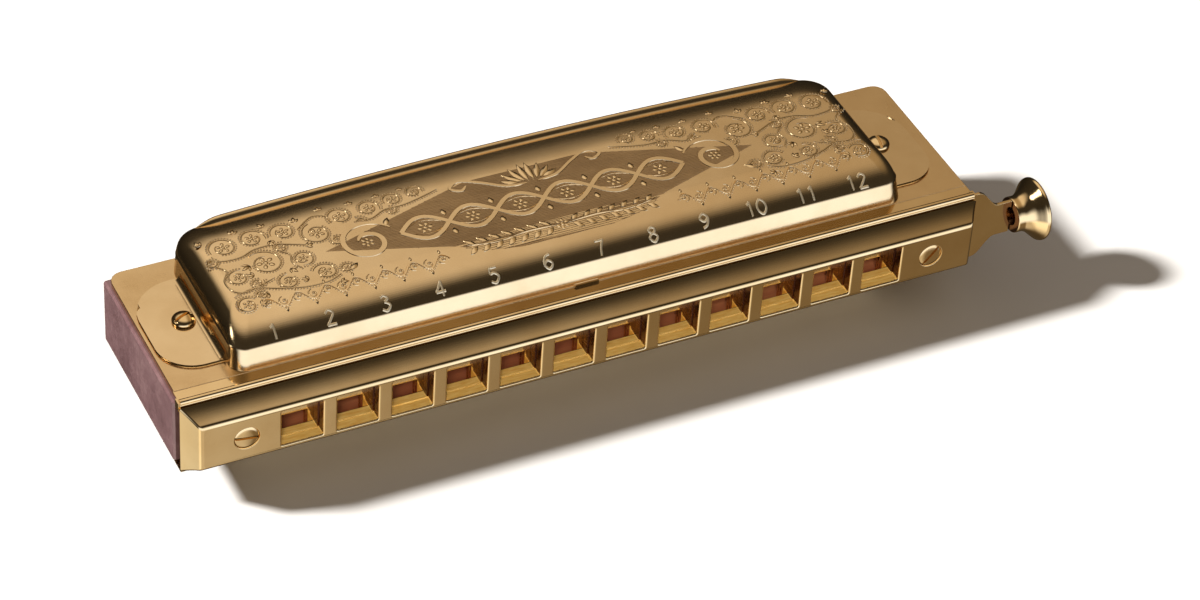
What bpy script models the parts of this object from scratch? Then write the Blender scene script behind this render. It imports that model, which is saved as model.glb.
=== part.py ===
"""A twelve-hole slide chromatic harmonica, as separate pieces, in metres with +Z up.

The origin is the centre of the flat face that the harmonica rests on (the bottom cover's crown).
+X runs towards the slide's button, from hole 1 to hole 12. -Y is the player's side, with the mouthpiece.
Everything is drawn in millimetres and scaled to metres when its mesh is made.
"""

import math

import bmesh
import bpy
from mathutils import Matrix, Vector

MM = 0.001

# ---- driving dimensions (millimetres) ----
HOLES = 12
PITCH = 9.5
HOLE_WIDTH = 7.1
HOLE_HEIGHT = 7.2
TOUCH = 0.05  # gap between pieces that touch
SLIDE_PLAY = 0.1  # gap on each side of the sliding strip

COVER_HEIGHT = 7.05
COVER_SHEET = 0.4
COVER_LENGTH = 120.6
COVER_DEPTH = 31.0
COVER_BOW = 1.2  # how far the middle of each cover's back edge stands out
COVER_CENTRE_X = -0.85  # the covers sit this far off the holes' centre
TAB_REACH = 69.5
TAB_CENTRE_Y = -1.1
TAB_HALF_LENGTH = 10.4
TAB_FRONT_CORNER = 6.0
TAB_BACK_CORNER = 7.8

PLATE_LENGTH = 142.6
PLATE_DEPTH = 30.6
PLATE_THICKNESS = 1.05
PLATE_BACK_CORNER = 2.3

COMB_LENGTH = 143.8
COMB_DEPTH = 32.1
COMB_HEIGHT = 12.6

MOUTH_DEPTH = 3.6
MOUTH_FACE_LENGTH = 138.9
MOUTH_FACE_HEIGHT = 9.1
MOUTH_BACK_LENGTH = 143.2
MOUTH_BACK_HEIGHT = 13.2

CHANNEL_LENGTH = 140.6
CHANNEL_WEB = 0.6
CHANNEL_LIP = 0.4
CHANNEL_HEIGHT = 14.6
BACK_PLATE_THICKNESS = 0.45

SLIDE_THICKNESS = 0.6
SLIDE_TRAVEL = 4.75
SLIDE_LEFT_END = -65.4
WINDOW_WIDTH = 4.6
WINDOW_LOW = 0.6  # from the middle plane
WINDOW_HIGH = 5.4

MOUTH_SCREW_X = 61.64
COVER_SCREW_REACH = 63.2  # from the covers' centre
COVER_SCREW_Y = -0.8

# ---- heights, counted from the middle plane of the comb ----
COMB_TOP = COMB_HEIGHT / 2
PLATE_LOW = COMB_TOP + TOUCH
PLATE_TOP = PLATE_LOW + PLATE_THICKNESS
COVER_FOOT = PLATE_TOP + TOUCH
MIDDLE_Z = COVER_FOOT + COVER_HEIGHT  # the middle plane's height above the resting face

# ---- depths, worked forwards from the covers, which are centred on Y = 0 ----
COVER_FRONT = -COVER_DEPTH / 2
PLATE_FRONT = COVER_FRONT - 0.1
COMB_FRONT = PLATE_FRONT - 1.25
BACK_PLATE_FRONT = COMB_FRONT - TOUCH - BACK_PLATE_THICKNESS
SLIDE_FRONT = BACK_PLATE_FRONT - SLIDE_PLAY - SLIDE_THICKNESS
CHANNEL_FRONT = SLIDE_FRONT - SLIDE_PLAY - CHANNEL_WEB
MOUTH_BACK = CHANNEL_FRONT - TOUCH
MOUTH_FRONT = MOUTH_BACK - MOUTH_DEPTH
SLIDE_MID_Y = SLIDE_FRONT + SLIDE_THICKNESS / 2

# ---- reeds and the comb's chambers ----
REED_OFFSET = 2.15  # of each hole's two chambers from the hole's centre
REED_PAD_FRONT = COVER_FRONT + 2.4
REED_PAD_LENGTH = 2.8
REED_WIDTH = 2.1
REED_SLOT_WIDTH = 2.3
LONGEST_REED = 20.5
SHORTEST_REED = 10.0
THROAT_DEPTH = 4.0
CHAMBER_WIDTH = 3.3
CORE_HALF = 0.9  # half the wood left between the upper and the lower chambers
PIN_COLUMNS = (-47.5, -19.0, 19.0, 47.5)
PIN_ROWS = (COVER_FRONT + 2.3, 12.9)
PIN_SHANK = 0.5
PIN_HEAD = 1.0

# ---- the return spring and the slide's stops ----
SPRING_Z = 3.9
SPRING_WIRE = 0.3
SPRING_FIXED_X = 60.2
SPRING_BEND = 1.5
SPRING_BACK_Y = COMB_FRONT + 11.0
SPRING_SLIDE_X = 68.6
BUMPER_RADIUS = 1.3
MOUTH_SHANK = 0.9
COVER_SHANK = 0.95

# ---- the button ----
HUB_LEFT = 79.8
HUB_BORE = 1.7
BUTTON_PROFILE = (
    (79.8, 3.0),
    (80.1, 3.15),
    (81.2, 3.15),
    (81.9, 3.4),
    (82.7, 3.95),
    (83.4, 4.65),
    (84.0, 5.3),
    (84.3, 5.5),
    (84.65, 5.55),
    (84.9, 5.4),
    (85.1, 4.6),
    (85.25, 2.6),
)


# ---------------------------------------------------------------- scene helpers
def clear_scene():
    for obj in list(bpy.data.objects):
        bpy.data.objects.remove(obj, do_unlink=True)


def material(name, colour, roughness, metallic):
    made = bpy.data.materials.new(name)
    made.use_nodes = True
    shader = made.node_tree.nodes["Principled BSDF"]
    shader.inputs["Base Color"].default_value = (*colour, 1.0)
    shader.inputs["Roughness"].default_value = roughness
    shader.inputs["Metallic"].default_value = metallic
    made.diffuse_color = (*colour, 1.0)
    return made


def finish_mesh(bm, name, origin=(0.0, 0.0, 0.0)):
    """Turn millimetre geometry into a mesh in metres whose zero is at origin."""
    bmesh.ops.recalc_face_normals(bm, faces=bm.faces)
    bm.transform(Matrix.Scale(MM, 4) @ Matrix.Translation(-Vector(origin)))
    mesh = bpy.data.meshes.new(name)
    bm.to_mesh(mesh)
    bm.free()
    return mesh


def add_part(name, bm, look, origin=(0.0, 0.0, 0.0), smooth_degrees=None, parent=None):
    mesh = finish_mesh(bm, name, origin)
    mesh.materials.append(look)
    if smooth_degrees is not None:
        mesh.shade_smooth()
        mesh.set_sharp_from_angle(angle=math.radians(smooth_degrees))
    obj = bpy.data.objects.new(name, mesh)
    bpy.context.scene.collection.objects.link(obj)
    obj.location = Vector(origin) * MM
    if parent is not None:
        obj.parent = parent
        obj.location = Vector(origin) * MM - parent.location
    return obj


def boolean(obj, bm, operation="DIFFERENCE"):
    """Cut or join obj with a hidden helper object made from bm."""
    helper = bpy.data.objects.new(obj.name + "_tool", finish_mesh(bm, obj.name + "_tool"))
    bpy.context.scene.collection.objects.link(helper)
    helper.hide_render = True
    helper.display_type = "WIRE"
    step = obj.modifiers.new(operation.title(), "BOOLEAN")
    step.operation = operation
    step.object = helper
    return helper


def bevel(obj, width, segments=1, angle=30.0):
    step = obj.modifiers.new("Bevel", "BEVEL")
    step.width = width * MM
    step.segments = segments
    step.limit_method = "ANGLE"
    step.angle_limit = math.radians(angle)


# ---------------------------------------------------------------- shape helpers
def box(bm, low, high):
    corners = [
        bm.verts.new((x, y, z))
        for z in (low[2], high[2])
        for y in (low[1], high[1])
        for x in (low[0], high[0])
    ]
    for face in ((0, 2, 3, 1), (4, 5, 7, 6), (0, 1, 5, 4), (2, 6, 7, 3), (0, 4, 6, 2), (1, 3, 7, 5)):
        bm.faces.new([corners[i] for i in face])


def prism(bm, outline, start, end, place):
    """Extrude a closed outline of (a, b) points; place(a, b, c) gives x, y, z."""
    near = [bm.verts.new(place(a, b, start)) for a, b in outline]
    far = [bm.verts.new(place(a, b, end)) for a, b in outline]
    bm.faces.new(near)
    bm.faces.new(list(reversed(far)))
    for i in range(len(outline)):
        j = (i + 1) % len(outline)
        bm.faces.new((near[i], near[j], far[j], far[i]))


def on_xy(a, b, c):
    return (a, b, c)


def on_xz(a, b, c):
    return (a, c, b)


def on_yz(a, b, c):
    return (c, a, b)


def arc(centre, radius, start_degrees, end_degrees, steps):
    points = []
    for i in range(steps + 1):
        angle = math.radians(start_degrees + (end_degrees - start_degrees) * i / steps)
        points.append((centre[0] + radius * math.cos(angle), centre[1] + radius * math.sin(angle)))
    return points


def circle(centre, radius, sides):
    return arc(centre, radius, 0.0, 360.0 * (1 - 1 / sides), sides - 1)


def slot_outline(left, right, middle, radius, steps=8):
    """A round-ended slot from left to right, in the plane of the slide."""
    ends = arc((right - radius, middle), radius, -90, 90, steps)
    return ends + arc((left + radius, middle), radius, 90, 270, steps)


def turned(bm, profile, place, sides):
    """Spin (distance along the axis, radius) points; place(along, a, b) gives x, y, z."""
    rings = []
    for along, radius in profile:
        if radius == 0.0:
            rings.append([bm.verts.new(place(along, 0.0, 0.0))])
            continue
        rings.append([bm.verts.new(place(along, a, b)) for a, b in circle((0.0, 0.0), radius, sides)])
    for low, high in zip(rings, rings[1:]):
        for i in range(sides):
            j = (i + 1) % sides
            face = [low[i % len(low)], low[j % len(low)], high[j % len(high)], high[i % len(high)]]
            bm.faces.new(list(dict.fromkeys(face)))
    for ring in (rings[0], rings[-1]):
        if len(ring) > 1:
            bm.faces.new(ring)


def hole_x(index):
    return (index - (HOLES - 1) / 2) * PITCH


def cover_x(x):
    """A distance from the covers' centre, as a distance from the holes' centre."""
    return COVER_CENTRE_X + x


def reed_length(index):
    return LONGEST_REED + (SHORTEST_REED - LONGEST_REED) * index / (HOLES - 1)


def upright(height):
    """A height counted from the middle plane, as a height above the resting face."""
    return MIDDLE_Z + height


# ---------------------------------------------------------------- comb and reed plates
def comb(look):
    bm = bmesh.new()
    half = COMB_LENGTH / 2
    box(bm, (-half, COMB_FRONT, upright(-COMB_TOP)), (half, COMB_FRONT + COMB_DEPTH, upright(COMB_TOP)))
    obj = add_part("comb", bm, look)
    bevel(obj, 0.35)

    throats = bmesh.new()
    chambers = bmesh.new()
    for index in range(HOLES):
        x = hole_x(index)
        for side in (-1, 1):
            low, high = sorted((upright(side * CORE_HALF), upright(side * (COMB_TOP - 1.0))))
            box(throats, (x - 3.5, COMB_FRONT - 1, low), (x + 3.5, COMB_FRONT + THROAT_DEPTH, high))
            low, high = sorted((upright(side * (CORE_HALF + 0.1)), upright(side * (COMB_TOP + 1.0))))
            end = REED_PAD_FRONT + REED_PAD_LENGTH + reed_length(index) + 1.0
            for centre in (x - REED_OFFSET, x + REED_OFFSET):
                box(
                    chambers,
                    (centre - CHAMBER_WIDTH / 2, COMB_FRONT + THROAT_DEPTH - 0.6, low),
                    (centre + CHAMBER_WIDTH / 2, end, high),
                )
    boolean(obj, throats)
    boolean(obj, chambers)

    bores = bmesh.new()
    for side in (-1, 1):
        outline = circle((cover_x(side * COVER_SCREW_REACH), COVER_SCREW_Y), COVER_SHANK + 0.1, 12)
        prism(bores, outline, upright(-COMB_TOP - 1), upright(COMB_TOP + 1), on_xy)
        outline = circle((side * MOUTH_SCREW_X, MIDDLE_Z), MOUTH_SHANK + TOUCH, 12)
        prism(bores, outline, COMB_FRONT - 1, COMB_FRONT + 6.2, on_xz)
        for x in PIN_COLUMNS:
            for y in PIN_ROWS:
                start, end = sorted((upright(side * (COMB_TOP + 1)), upright(side * (COMB_TOP - 4.2))))
                prism(bores, circle((x, y), PIN_SHANK + TOUCH, 8), start, end, on_xy)
    box(
        bores,
        (SPRING_FIXED_X - 0.8, COMB_FRONT - 1, upright(SPRING_Z - 0.8)),
        (SPRING_SLIDE_X + 1.2, SPRING_BACK_Y + 3.0, upright(SPRING_Z + 0.8)),
    )
    boolean(obj, bores)
    return obj


def reed_plate(name, side, look):
    half = PLATE_LENGTH / 2
    back = PLATE_FRONT + PLATE_DEPTH
    corner = PLATE_BACK_CORNER
    outline = [(-half, PLATE_FRONT), (half, PLATE_FRONT)]
    outline += arc((half - corner, back - corner), corner, 0, 90, 4)
    outline += arc((corner - half, back - corner), corner, 90, 180, 4)
    low, high = sorted((upright(side * PLATE_LOW), upright(side * PLATE_TOP)))
    bm = bmesh.new()
    prism(bm, outline, low, high, on_xy)
    obj = add_part(name, bm, look)

    cuts = bmesh.new()
    for index in range(HOLES):
        front = REED_PAD_FRONT + REED_PAD_LENGTH
        for centre in (hole_x(index) - REED_OFFSET, hole_x(index) + REED_OFFSET):
            box(
                cuts,
                (centre - REED_SLOT_WIDTH / 2, front, low - 1),
                (centre + REED_SLOT_WIDTH / 2, front + reed_length(index) + 0.2, high + 1),
            )
    for x in PIN_COLUMNS:
        for y in PIN_ROWS:
            prism(cuts, circle((x, y), PIN_SHANK + TOUCH, 8), low - 1, high + 1, on_xy)
    for end in (-1, 1):
        outline = circle((cover_x(end * COVER_SCREW_REACH), COVER_SCREW_Y), COVER_SHANK + 0.1, 12)
        prism(cuts, outline, low - 1, high + 1, on_xy)
    boolean(obj, cuts)
    return obj


def draw_reed(name, index, side, look):
    """A thick riveted pad in front, stepping down to the thin tongue that lies over its slot."""
    x = hole_x(index) + REED_OFFSET
    tip = REED_PAD_FRONT + REED_PAD_LENGTH + reed_length(index)
    step = REED_PAD_FRONT + REED_PAD_LENGTH
    foot = PLATE_TOP + TOUCH
    profile = [
        (REED_PAD_FRONT, foot),
        (tip, foot),
        (tip, foot + 0.2),
        (step + 0.8, foot + 0.2),
        (step, foot + 0.55),
        (REED_PAD_FRONT, foot + 0.55),
    ]
    outline = [(y, upright(side * z)) for y, z in profile]
    bm = bmesh.new()
    prism(bm, outline, x - REED_WIDTH / 2, x + REED_WIDTH / 2, on_yz)
    return add_part(name, bm, look)


def plate_pin(name, x, y, side, look):
    """A flat-headed pin driven through the reed plate into the comb."""
    head_low = PLATE_TOP + TOUCH
    profile = (
        (COMB_TOP - 4.0, 0.0),
        (COMB_TOP - 3.4, PIN_SHANK),
        (head_low, PIN_SHANK),
        (head_low, PIN_HEAD),
        (head_low + 0.3, PIN_HEAD * 0.8),
        (head_low + 0.4, 0.0),
    )
    bm = bmesh.new()
    turned(bm, profile, lambda along, a, b: (x + a, y + b, upright(side * along)), 8)
    return add_part(name, bm, look, smooth_degrees=40)


# ---------------------------------------------------------------- covers
def rounding(fraction, start):
    """How far a wall has turned in at this fraction of the height, as a part of its radius."""
    if fraction <= start:
        return 0.0
    reach = (fraction - start) / (1 - start)
    return 1 - math.sqrt(max(0.0, 1 - reach * reach))


def cover_ring(fraction, skin):
    """The cover wall's outline at a fraction of its height; skin insets it by the sheet."""
    end = 0.85 * fraction + 3.4 * rounding(fraction, 0.49) + skin
    front = 7.0 * rounding(fraction, 0.0) + skin
    back = 2.2 * rounding(fraction, 0.69) + skin
    half = COVER_LENGTH / 2 - end
    low = COVER_FRONT + front
    high = COVER_FRONT + COVER_DEPTH - back
    front_corner = max(2.8 - 0.2 * end, 0.8)
    back_corner = 5.0 - 0.3 * end
    ring = arc((half - front_corner, low + front_corner), front_corner, -90, 0, 5)
    ring += arc((half - back_corner, high - back_corner), back_corner, 0, 90, 6)
    for step in range(1, 10):
        share = 1 - step / 5
        ring.append(((half - back_corner) * share, high + COVER_BOW * (1 - share * share)))
    ring += arc((back_corner - half, high - back_corner), back_corner, 90, 180, 6)
    ring += arc((front_corner - half, low + front_corner), front_corner, 180, 270, 5)
    return [(cover_x(x), y) for x, y in ring]


def cover(name, side, look):
    """A stamped shell: a deep front curve, rounded ends and back, and a screw tab at each end."""
    levels = (0.0, 0.27, 0.49, 0.64, 0.77, 0.87, 0.94, 0.98, 1.0)
    bm = bmesh.new()

    def rings(height, skin):
        made = []
        for level in levels:
            z = upright(side * (COVER_FOOT + level * height))
            made.append([bm.verts.new((x, y, z)) for x, y in cover_ring(level, skin)])
        return made

    outer = rings(COVER_HEIGHT, 0.0)
    inner = rings(COVER_HEIGHT - COVER_SHEET, COVER_SHEET)
    count = len(outer[0])
    strips = list(zip(outer, outer[1:])) + list(zip(inner, inner[1:])) + [(outer[0], inner[0])]
    for low, high in strips:
        for i in range(count):
            j = (i + 1) % count
            bm.faces.new((low[i], low[j], high[j], high[i]))
    bm.faces.new(outer[-1])
    bm.faces.new(inner[-1])
    obj = add_part(name, bm, look, smooth_degrees=50)

    tabs = bmesh.new()
    holes = bmesh.new()
    foot, top = sorted((upright(side * COVER_FOOT), upright(side * (COVER_FOOT + COVER_SHEET))))
    for end in (-1, 1):
        near = COVER_LENGTH / 2 - COVER_SHEET / 2
        low = TAB_CENTRE_Y - TAB_HALF_LENGTH
        high = TAB_CENTRE_Y + TAB_HALF_LENGTH
        outline = [(near, low)]
        front, rear = TAB_FRONT_CORNER, TAB_BACK_CORNER
        outline += arc((TAB_REACH - front, low + front), front, -90, 0, 6)
        outline += arc((TAB_REACH - rear, high - rear), rear, 0, 90, 7)
        outline += [(near, high)]
        prism(tabs, [(cover_x(end * x), y) for x, y in outline], foot, top, on_xy)
        bore = circle((cover_x(end * COVER_SCREW_REACH), COVER_SCREW_Y), COVER_SHANK + 0.1, 12)
        prism(holes, bore, foot - 1, top + 1, on_xy)
    boolean(obj, tabs, "UNION")

    back = COVER_FRONT + COVER_DEPTH
    low, high = sorted((upright(side * (COVER_FOOT - 1)), upright(side * (COVER_FOOT + 5.3))))
    box(holes, (-54.0, back - 3.0, low), (54.0, back + COVER_BOW + 1, high))
    boolean(obj, holes)
    return obj


def cover_screw(name, x, slot_degrees, look):
    """A round-headed slotted screw through both covers, both plates and the comb."""
    seat = COVER_FOOT + COVER_SHEET + TOUCH
    tip = -(COVER_FOOT + COVER_SHEET + 1.6)
    profile = [(tip, 0.0), (tip, COVER_SHANK), (seat, COVER_SHANK), (seat, 1.95)]
    for degrees in (12, 30, 48, 66):
        angle = math.radians(degrees)
        profile.append((seat + 0.2 + 1.05 * math.sin(angle), 1.95 * math.cos(angle)))
    profile.append((seat + 1.25, 0.0))
    bm = bmesh.new()
    turned(bm, profile, lambda along, a, b: (x + a, COVER_SCREW_Y + b, upright(along)), 16)
    obj = add_part(name, bm, look, smooth_degrees=50)
    groove = bmesh.new()
    box(groove, (-3.0, -0.22, upright(seat + 0.75)), (3.0, 0.22, upright(seat + 2.0)))
    turn = Matrix.Translation((x, COVER_SCREW_Y, 0.0)) @ Matrix.Rotation(math.radians(slot_degrees), 4, "Z")
    groove.transform(turn)
    boolean(obj, groove)
    return obj


def cover_nut(name, x, look):
    seat = -(COVER_FOOT + COVER_SHEET + TOUCH)
    bm = bmesh.new()
    prism(bm, circle((x, COVER_SCREW_Y), 2.3, 6), upright(seat - 1.4), upright(seat), on_xy)
    obj = add_part(name, bm, look)
    bore = bmesh.new()
    outline = circle((x, COVER_SCREW_Y), COVER_SHANK + TOUCH, 16)
    prism(bore, outline, upright(seat - 3), upright(seat + 1), on_xy)
    boolean(obj, bore)
    return obj


# ---------------------------------------------------------------- mouthpiece
def mouthpiece(look):
    """A bar whose face is smaller than its back, so all four sides slope, with twelve square holes."""
    bm = bmesh.new()
    face = (MOUTH_FACE_LENGTH / 2, MOUTH_FACE_HEIGHT / 2, MOUTH_FRONT)
    back = (MOUTH_BACK_LENGTH / 2, MOUTH_BACK_HEIGHT / 2, MOUTH_BACK)
    rings = []
    for half_x, half_z, y in (face, back):
        corners = ((-half_x, -half_z), (half_x, -half_z), (half_x, half_z), (-half_x, half_z))
        rings.append([bm.verts.new((x, y, upright(z))) for x, z in corners])
    bm.faces.new(rings[0])
    bm.faces.new(rings[1])
    for i in range(4):
        j = (i + 1) % 4
        bm.faces.new((rings[0][i], rings[0][j], rings[1][j], rings[1][i]))
    obj = add_part("mouthpiece", bm, look, smooth_degrees=35)
    bevel(obj, 0.45, 2, angle=20.0)

    cuts = bmesh.new()
    for index in range(HOLES):
        x = hole_x(index)
        box(
            cuts,
            (x - HOLE_WIDTH / 2, MOUTH_FRONT - 1, upright(-HOLE_HEIGHT / 2)),
            (x + HOLE_WIDTH / 2, MOUTH_BACK + 1, upright(HOLE_HEIGHT / 2)),
        )
    for x in (-MOUTH_SCREW_X, MOUTH_SCREW_X):
        profile = (
            (MOUTH_FRONT - 1, 2.15),
            (MOUTH_FRONT + 1.0, 2.15),
            (MOUTH_FRONT + 1.0, MOUTH_SHANK + 0.1),
            (MOUTH_BACK + 1, MOUTH_SHANK + 0.1),
        )
        turned(cuts, profile, lambda along, a, b, x=x: (x + a, along, MIDDLE_Z + b), 20)
    boolean(obj, cuts)
    return obj


def mouthpiece_screw(name, x, slot_degrees, look):
    """A cheese-headed screw that sits flush in the mouthpiece's face."""
    head = MOUTH_FRONT + 1.0 - TOUCH
    profile = (
        (MOUTH_FRONT + 0.02, 0.0),
        (MOUTH_FRONT + 0.02, 1.9),
        (MOUTH_FRONT + 0.2, 2.1),
        (head, 2.1),
        (head, MOUTH_SHANK),
        (COMB_FRONT + 5.2, MOUTH_SHANK),
        (COMB_FRONT + 6.0, 0.0),
    )
    bm = bmesh.new()
    turned(bm, profile, lambda along, a, b: (x + a, along, MIDDLE_Z + b), 20)
    obj = add_part(name, bm, look, smooth_degrees=40)
    groove = bmesh.new()
    box(groove, (-3.0, MOUTH_FRONT - 1, -0.22), (3.0, MOUTH_FRONT + 0.45, 0.22))
    turn = Matrix.Translation((x, 0.0, MIDDLE_Z)) @ Matrix.Rotation(math.radians(slot_degrees), 4, "Y")
    groove.transform(turn)
    boolean(obj, groove)
    return obj


# ---------------------------------------------------------------- slide assembly
def windows(bm, front, back, lower_shift=0.0, upper_shift=0.0):
    for index in range(HOLES):
        for side, shift in ((-1, lower_shift), (1, upper_shift)):
            left = hole_x(index) - WINDOW_WIDTH / 2 + shift
            low, high = sorted((upright(side * WINDOW_LOW), upright(side * WINDOW_HIGH)))
            box(bm, (left, front - 1, low), (left + WINDOW_WIDTH, back + 1, high))


def screw_holes(bm, front, back):
    for x in (-MOUTH_SCREW_X, MOUTH_SCREW_X):
        prism(bm, circle((x, MIDDLE_Z), MOUTH_SHANK + 0.1, 12), front - 1, back + 1, on_xz)


def slide_channel(look):
    """The front plate, with its long edges folded back over the slide and the back plate."""
    half = CHANNEL_HEIGHT / 2
    lip_end = COMB_FRONT - 0.1
    bend = 0.7
    outer = arc((CHANNEL_FRONT + bend, half - bend), bend, 180, 90, 4)
    inner = [
        (lip_end, half),
        (lip_end, half - CHANNEL_LIP),
        (CHANNEL_FRONT + CHANNEL_WEB, half - CHANNEL_LIP),
    ]
    upper = outer + inner
    outline = upper + [(y, -z) for y, z in reversed(upper)]
    outline = [(y, upright(z)) for y, z in outline]
    bm = bmesh.new()
    prism(bm, outline, -CHANNEL_LENGTH / 2, CHANNEL_LENGTH / 2, on_yz)
    obj = add_part("slide_channel", bm, look, smooth_degrees=35)
    cuts = bmesh.new()
    windows(cuts, CHANNEL_FRONT, CHANNEL_FRONT + CHANNEL_WEB)
    screw_holes(cuts, CHANNEL_FRONT, CHANNEL_FRONT + CHANNEL_WEB)
    boolean(obj, cuts)
    return obj


def slide_back_plate(look):
    half = CHANNEL_LENGTH / 2 - 0.3
    high = CHANNEL_HEIGHT / 2 - CHANNEL_LIP - TOUCH
    back = BACK_PLATE_FRONT + BACK_PLATE_THICKNESS
    bm = bmesh.new()
    box(bm, (-half, BACK_PLATE_FRONT, upright(-high)), (half, back, upright(high)))
    obj = add_part("slide_back_plate", bm, look)
    cuts = bmesh.new()
    windows(cuts, BACK_PLATE_FRONT, back)
    screw_holes(cuts, BACK_PLATE_FRONT, back)
    left = SPRING_SLIDE_X - SLIDE_TRAVEL - 0.6
    outline = slot_outline(left, SPRING_SLIDE_X + 0.6, upright(SPRING_Z), 0.6)
    prism(cuts, outline, BACK_PLATE_FRONT - 1, back + 1, on_xz)
    boolean(obj, cuts)
    return obj


def slide_half_height(x):
    """Half the strip's height: full in the channel, easing down to the neck at the button."""
    full = CHANNEL_HEIGHT / 2 - CHANNEL_LIP - TOUCH
    neck, start, end = 3.3, 72.8, 77.0
    eased = min(max((x - start) / (end - start), 0.0), 1.0)
    return neck + (full - neck) * 0.5 * (1 + math.cos(math.pi * eased))


def slide(look, parent):
    """The strip with two rows of windows: the lower row is open at rest, the upper when pressed."""
    stations = [72.8 + 4.2 * i / 8 for i in range(9)]
    lower = [(SLIDE_LEFT_END, -slide_half_height(0.0))]
    lower += [(x, -slide_half_height(x)) for x in stations]
    lower += [(79.65, -3.3), (79.65, -0.8), (82.2, -0.8)]
    outline = lower + [(x, -z) for x, z in reversed(lower)]
    outline = [(x, upright(z)) for x, z in outline]
    back = SLIDE_FRONT + SLIDE_THICKNESS
    bm = bmesh.new()
    prism(bm, outline, SLIDE_FRONT, back, on_xz)
    obj = add_part("slide", bm, look, (0.0, SLIDE_MID_Y, MIDDLE_Z), parent=parent)
    cuts = bmesh.new()
    windows(cuts, SLIDE_FRONT, back, upper_shift=SLIDE_TRAVEL)
    stop = BUMPER_RADIUS + TOUCH
    for x in (-MOUTH_SCREW_X, MOUTH_SCREW_X):
        outline = slot_outline(x - stop, x + stop + SLIDE_TRAVEL, MIDDLE_Z, stop)
        prism(cuts, outline, SLIDE_FRONT - 1, back + 1, on_xz)
    prism(cuts, circle((SPRING_SLIDE_X, upright(SPRING_Z)), 0.5, 8), SLIDE_FRONT - 1, back + 1, on_xz)
    boolean(obj, cuts)
    return obj


def slide_button(look, parent):
    """A flared button on a hollow hub; the slide's tongue sits in the hub's bore."""
    bore = [(83.0, 0.0), (83.0, HUB_BORE), (HUB_LEFT, HUB_BORE)]
    profile = bore + list(BUTTON_PROFILE)
    bm = bmesh.new()
    turned(bm, profile, lambda along, a, b: (along, SLIDE_MID_Y + a, MIDDLE_Z + b), 28)
    return add_part(
        "slide_button", bm, look, (HUB_LEFT, SLIDE_MID_Y, MIDDLE_Z), smooth_degrees=50, parent=parent
    )


def slide_bumper(name, x, look):
    """A sleeve on the mouthpiece screw that cushions the ends of the slide's slot."""
    front = SLIDE_FRONT - SLIDE_PLAY + TOUCH
    back = BACK_PLATE_FRONT - TOUCH
    inner = MOUTH_SHANK + TOUCH
    bm = bmesh.new()
    prism(bm, circle((x, MIDDLE_Z), BUMPER_RADIUS, 16), front, back, on_xz)
    obj = add_part(name, bm, look, smooth_degrees=40)
    bore = bmesh.new()
    prism(bore, circle((x, MIDDLE_Z), inner, 16), front - 1, back + 1, on_xz)
    boolean(obj, bore)
    return obj


def slide_spring(look):
    """A hairpin of wire: one leg lies in the comb's slot, the other pushes the slide towards +X."""
    bend_x = SPRING_FIXED_X + SPRING_BEND
    route = [(SPRING_FIXED_X, COMB_FRONT + 2.0), (SPRING_FIXED_X, SPRING_BACK_Y - 1.0)]
    route += arc((bend_x, SPRING_BACK_Y), SPRING_BEND, 180, 0, 6)
    route += [
        (SPRING_SLIDE_X - 0.5, COMB_FRONT + 1.2),
        (SPRING_SLIDE_X - 0.1, COMB_FRONT + 0.5),
        (SPRING_SLIDE_X, COMB_FRONT - 0.3),
        (SPRING_SLIDE_X, SLIDE_FRONT + 0.1),
    ]
    curve = bpy.data.curves.new("slide_spring", "CURVE")
    curve.dimensions = "3D"
    curve.bevel_depth = SPRING_WIRE * MM
    curve.bevel_resolution = 2
    curve.use_fill_caps = True
    spline = curve.splines.new("POLY")
    spline.points.add(len(route) - 1)
    for point, (x, y) in zip(spline.points, route):
        point.co = (x * MM, y * MM, upright(SPRING_Z) * MM, 1.0)
    curve.materials.append(look)
    obj = bpy.data.objects.new("slide_spring", curve)
    bpy.context.scene.collection.objects.link(obj)
    return obj


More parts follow.
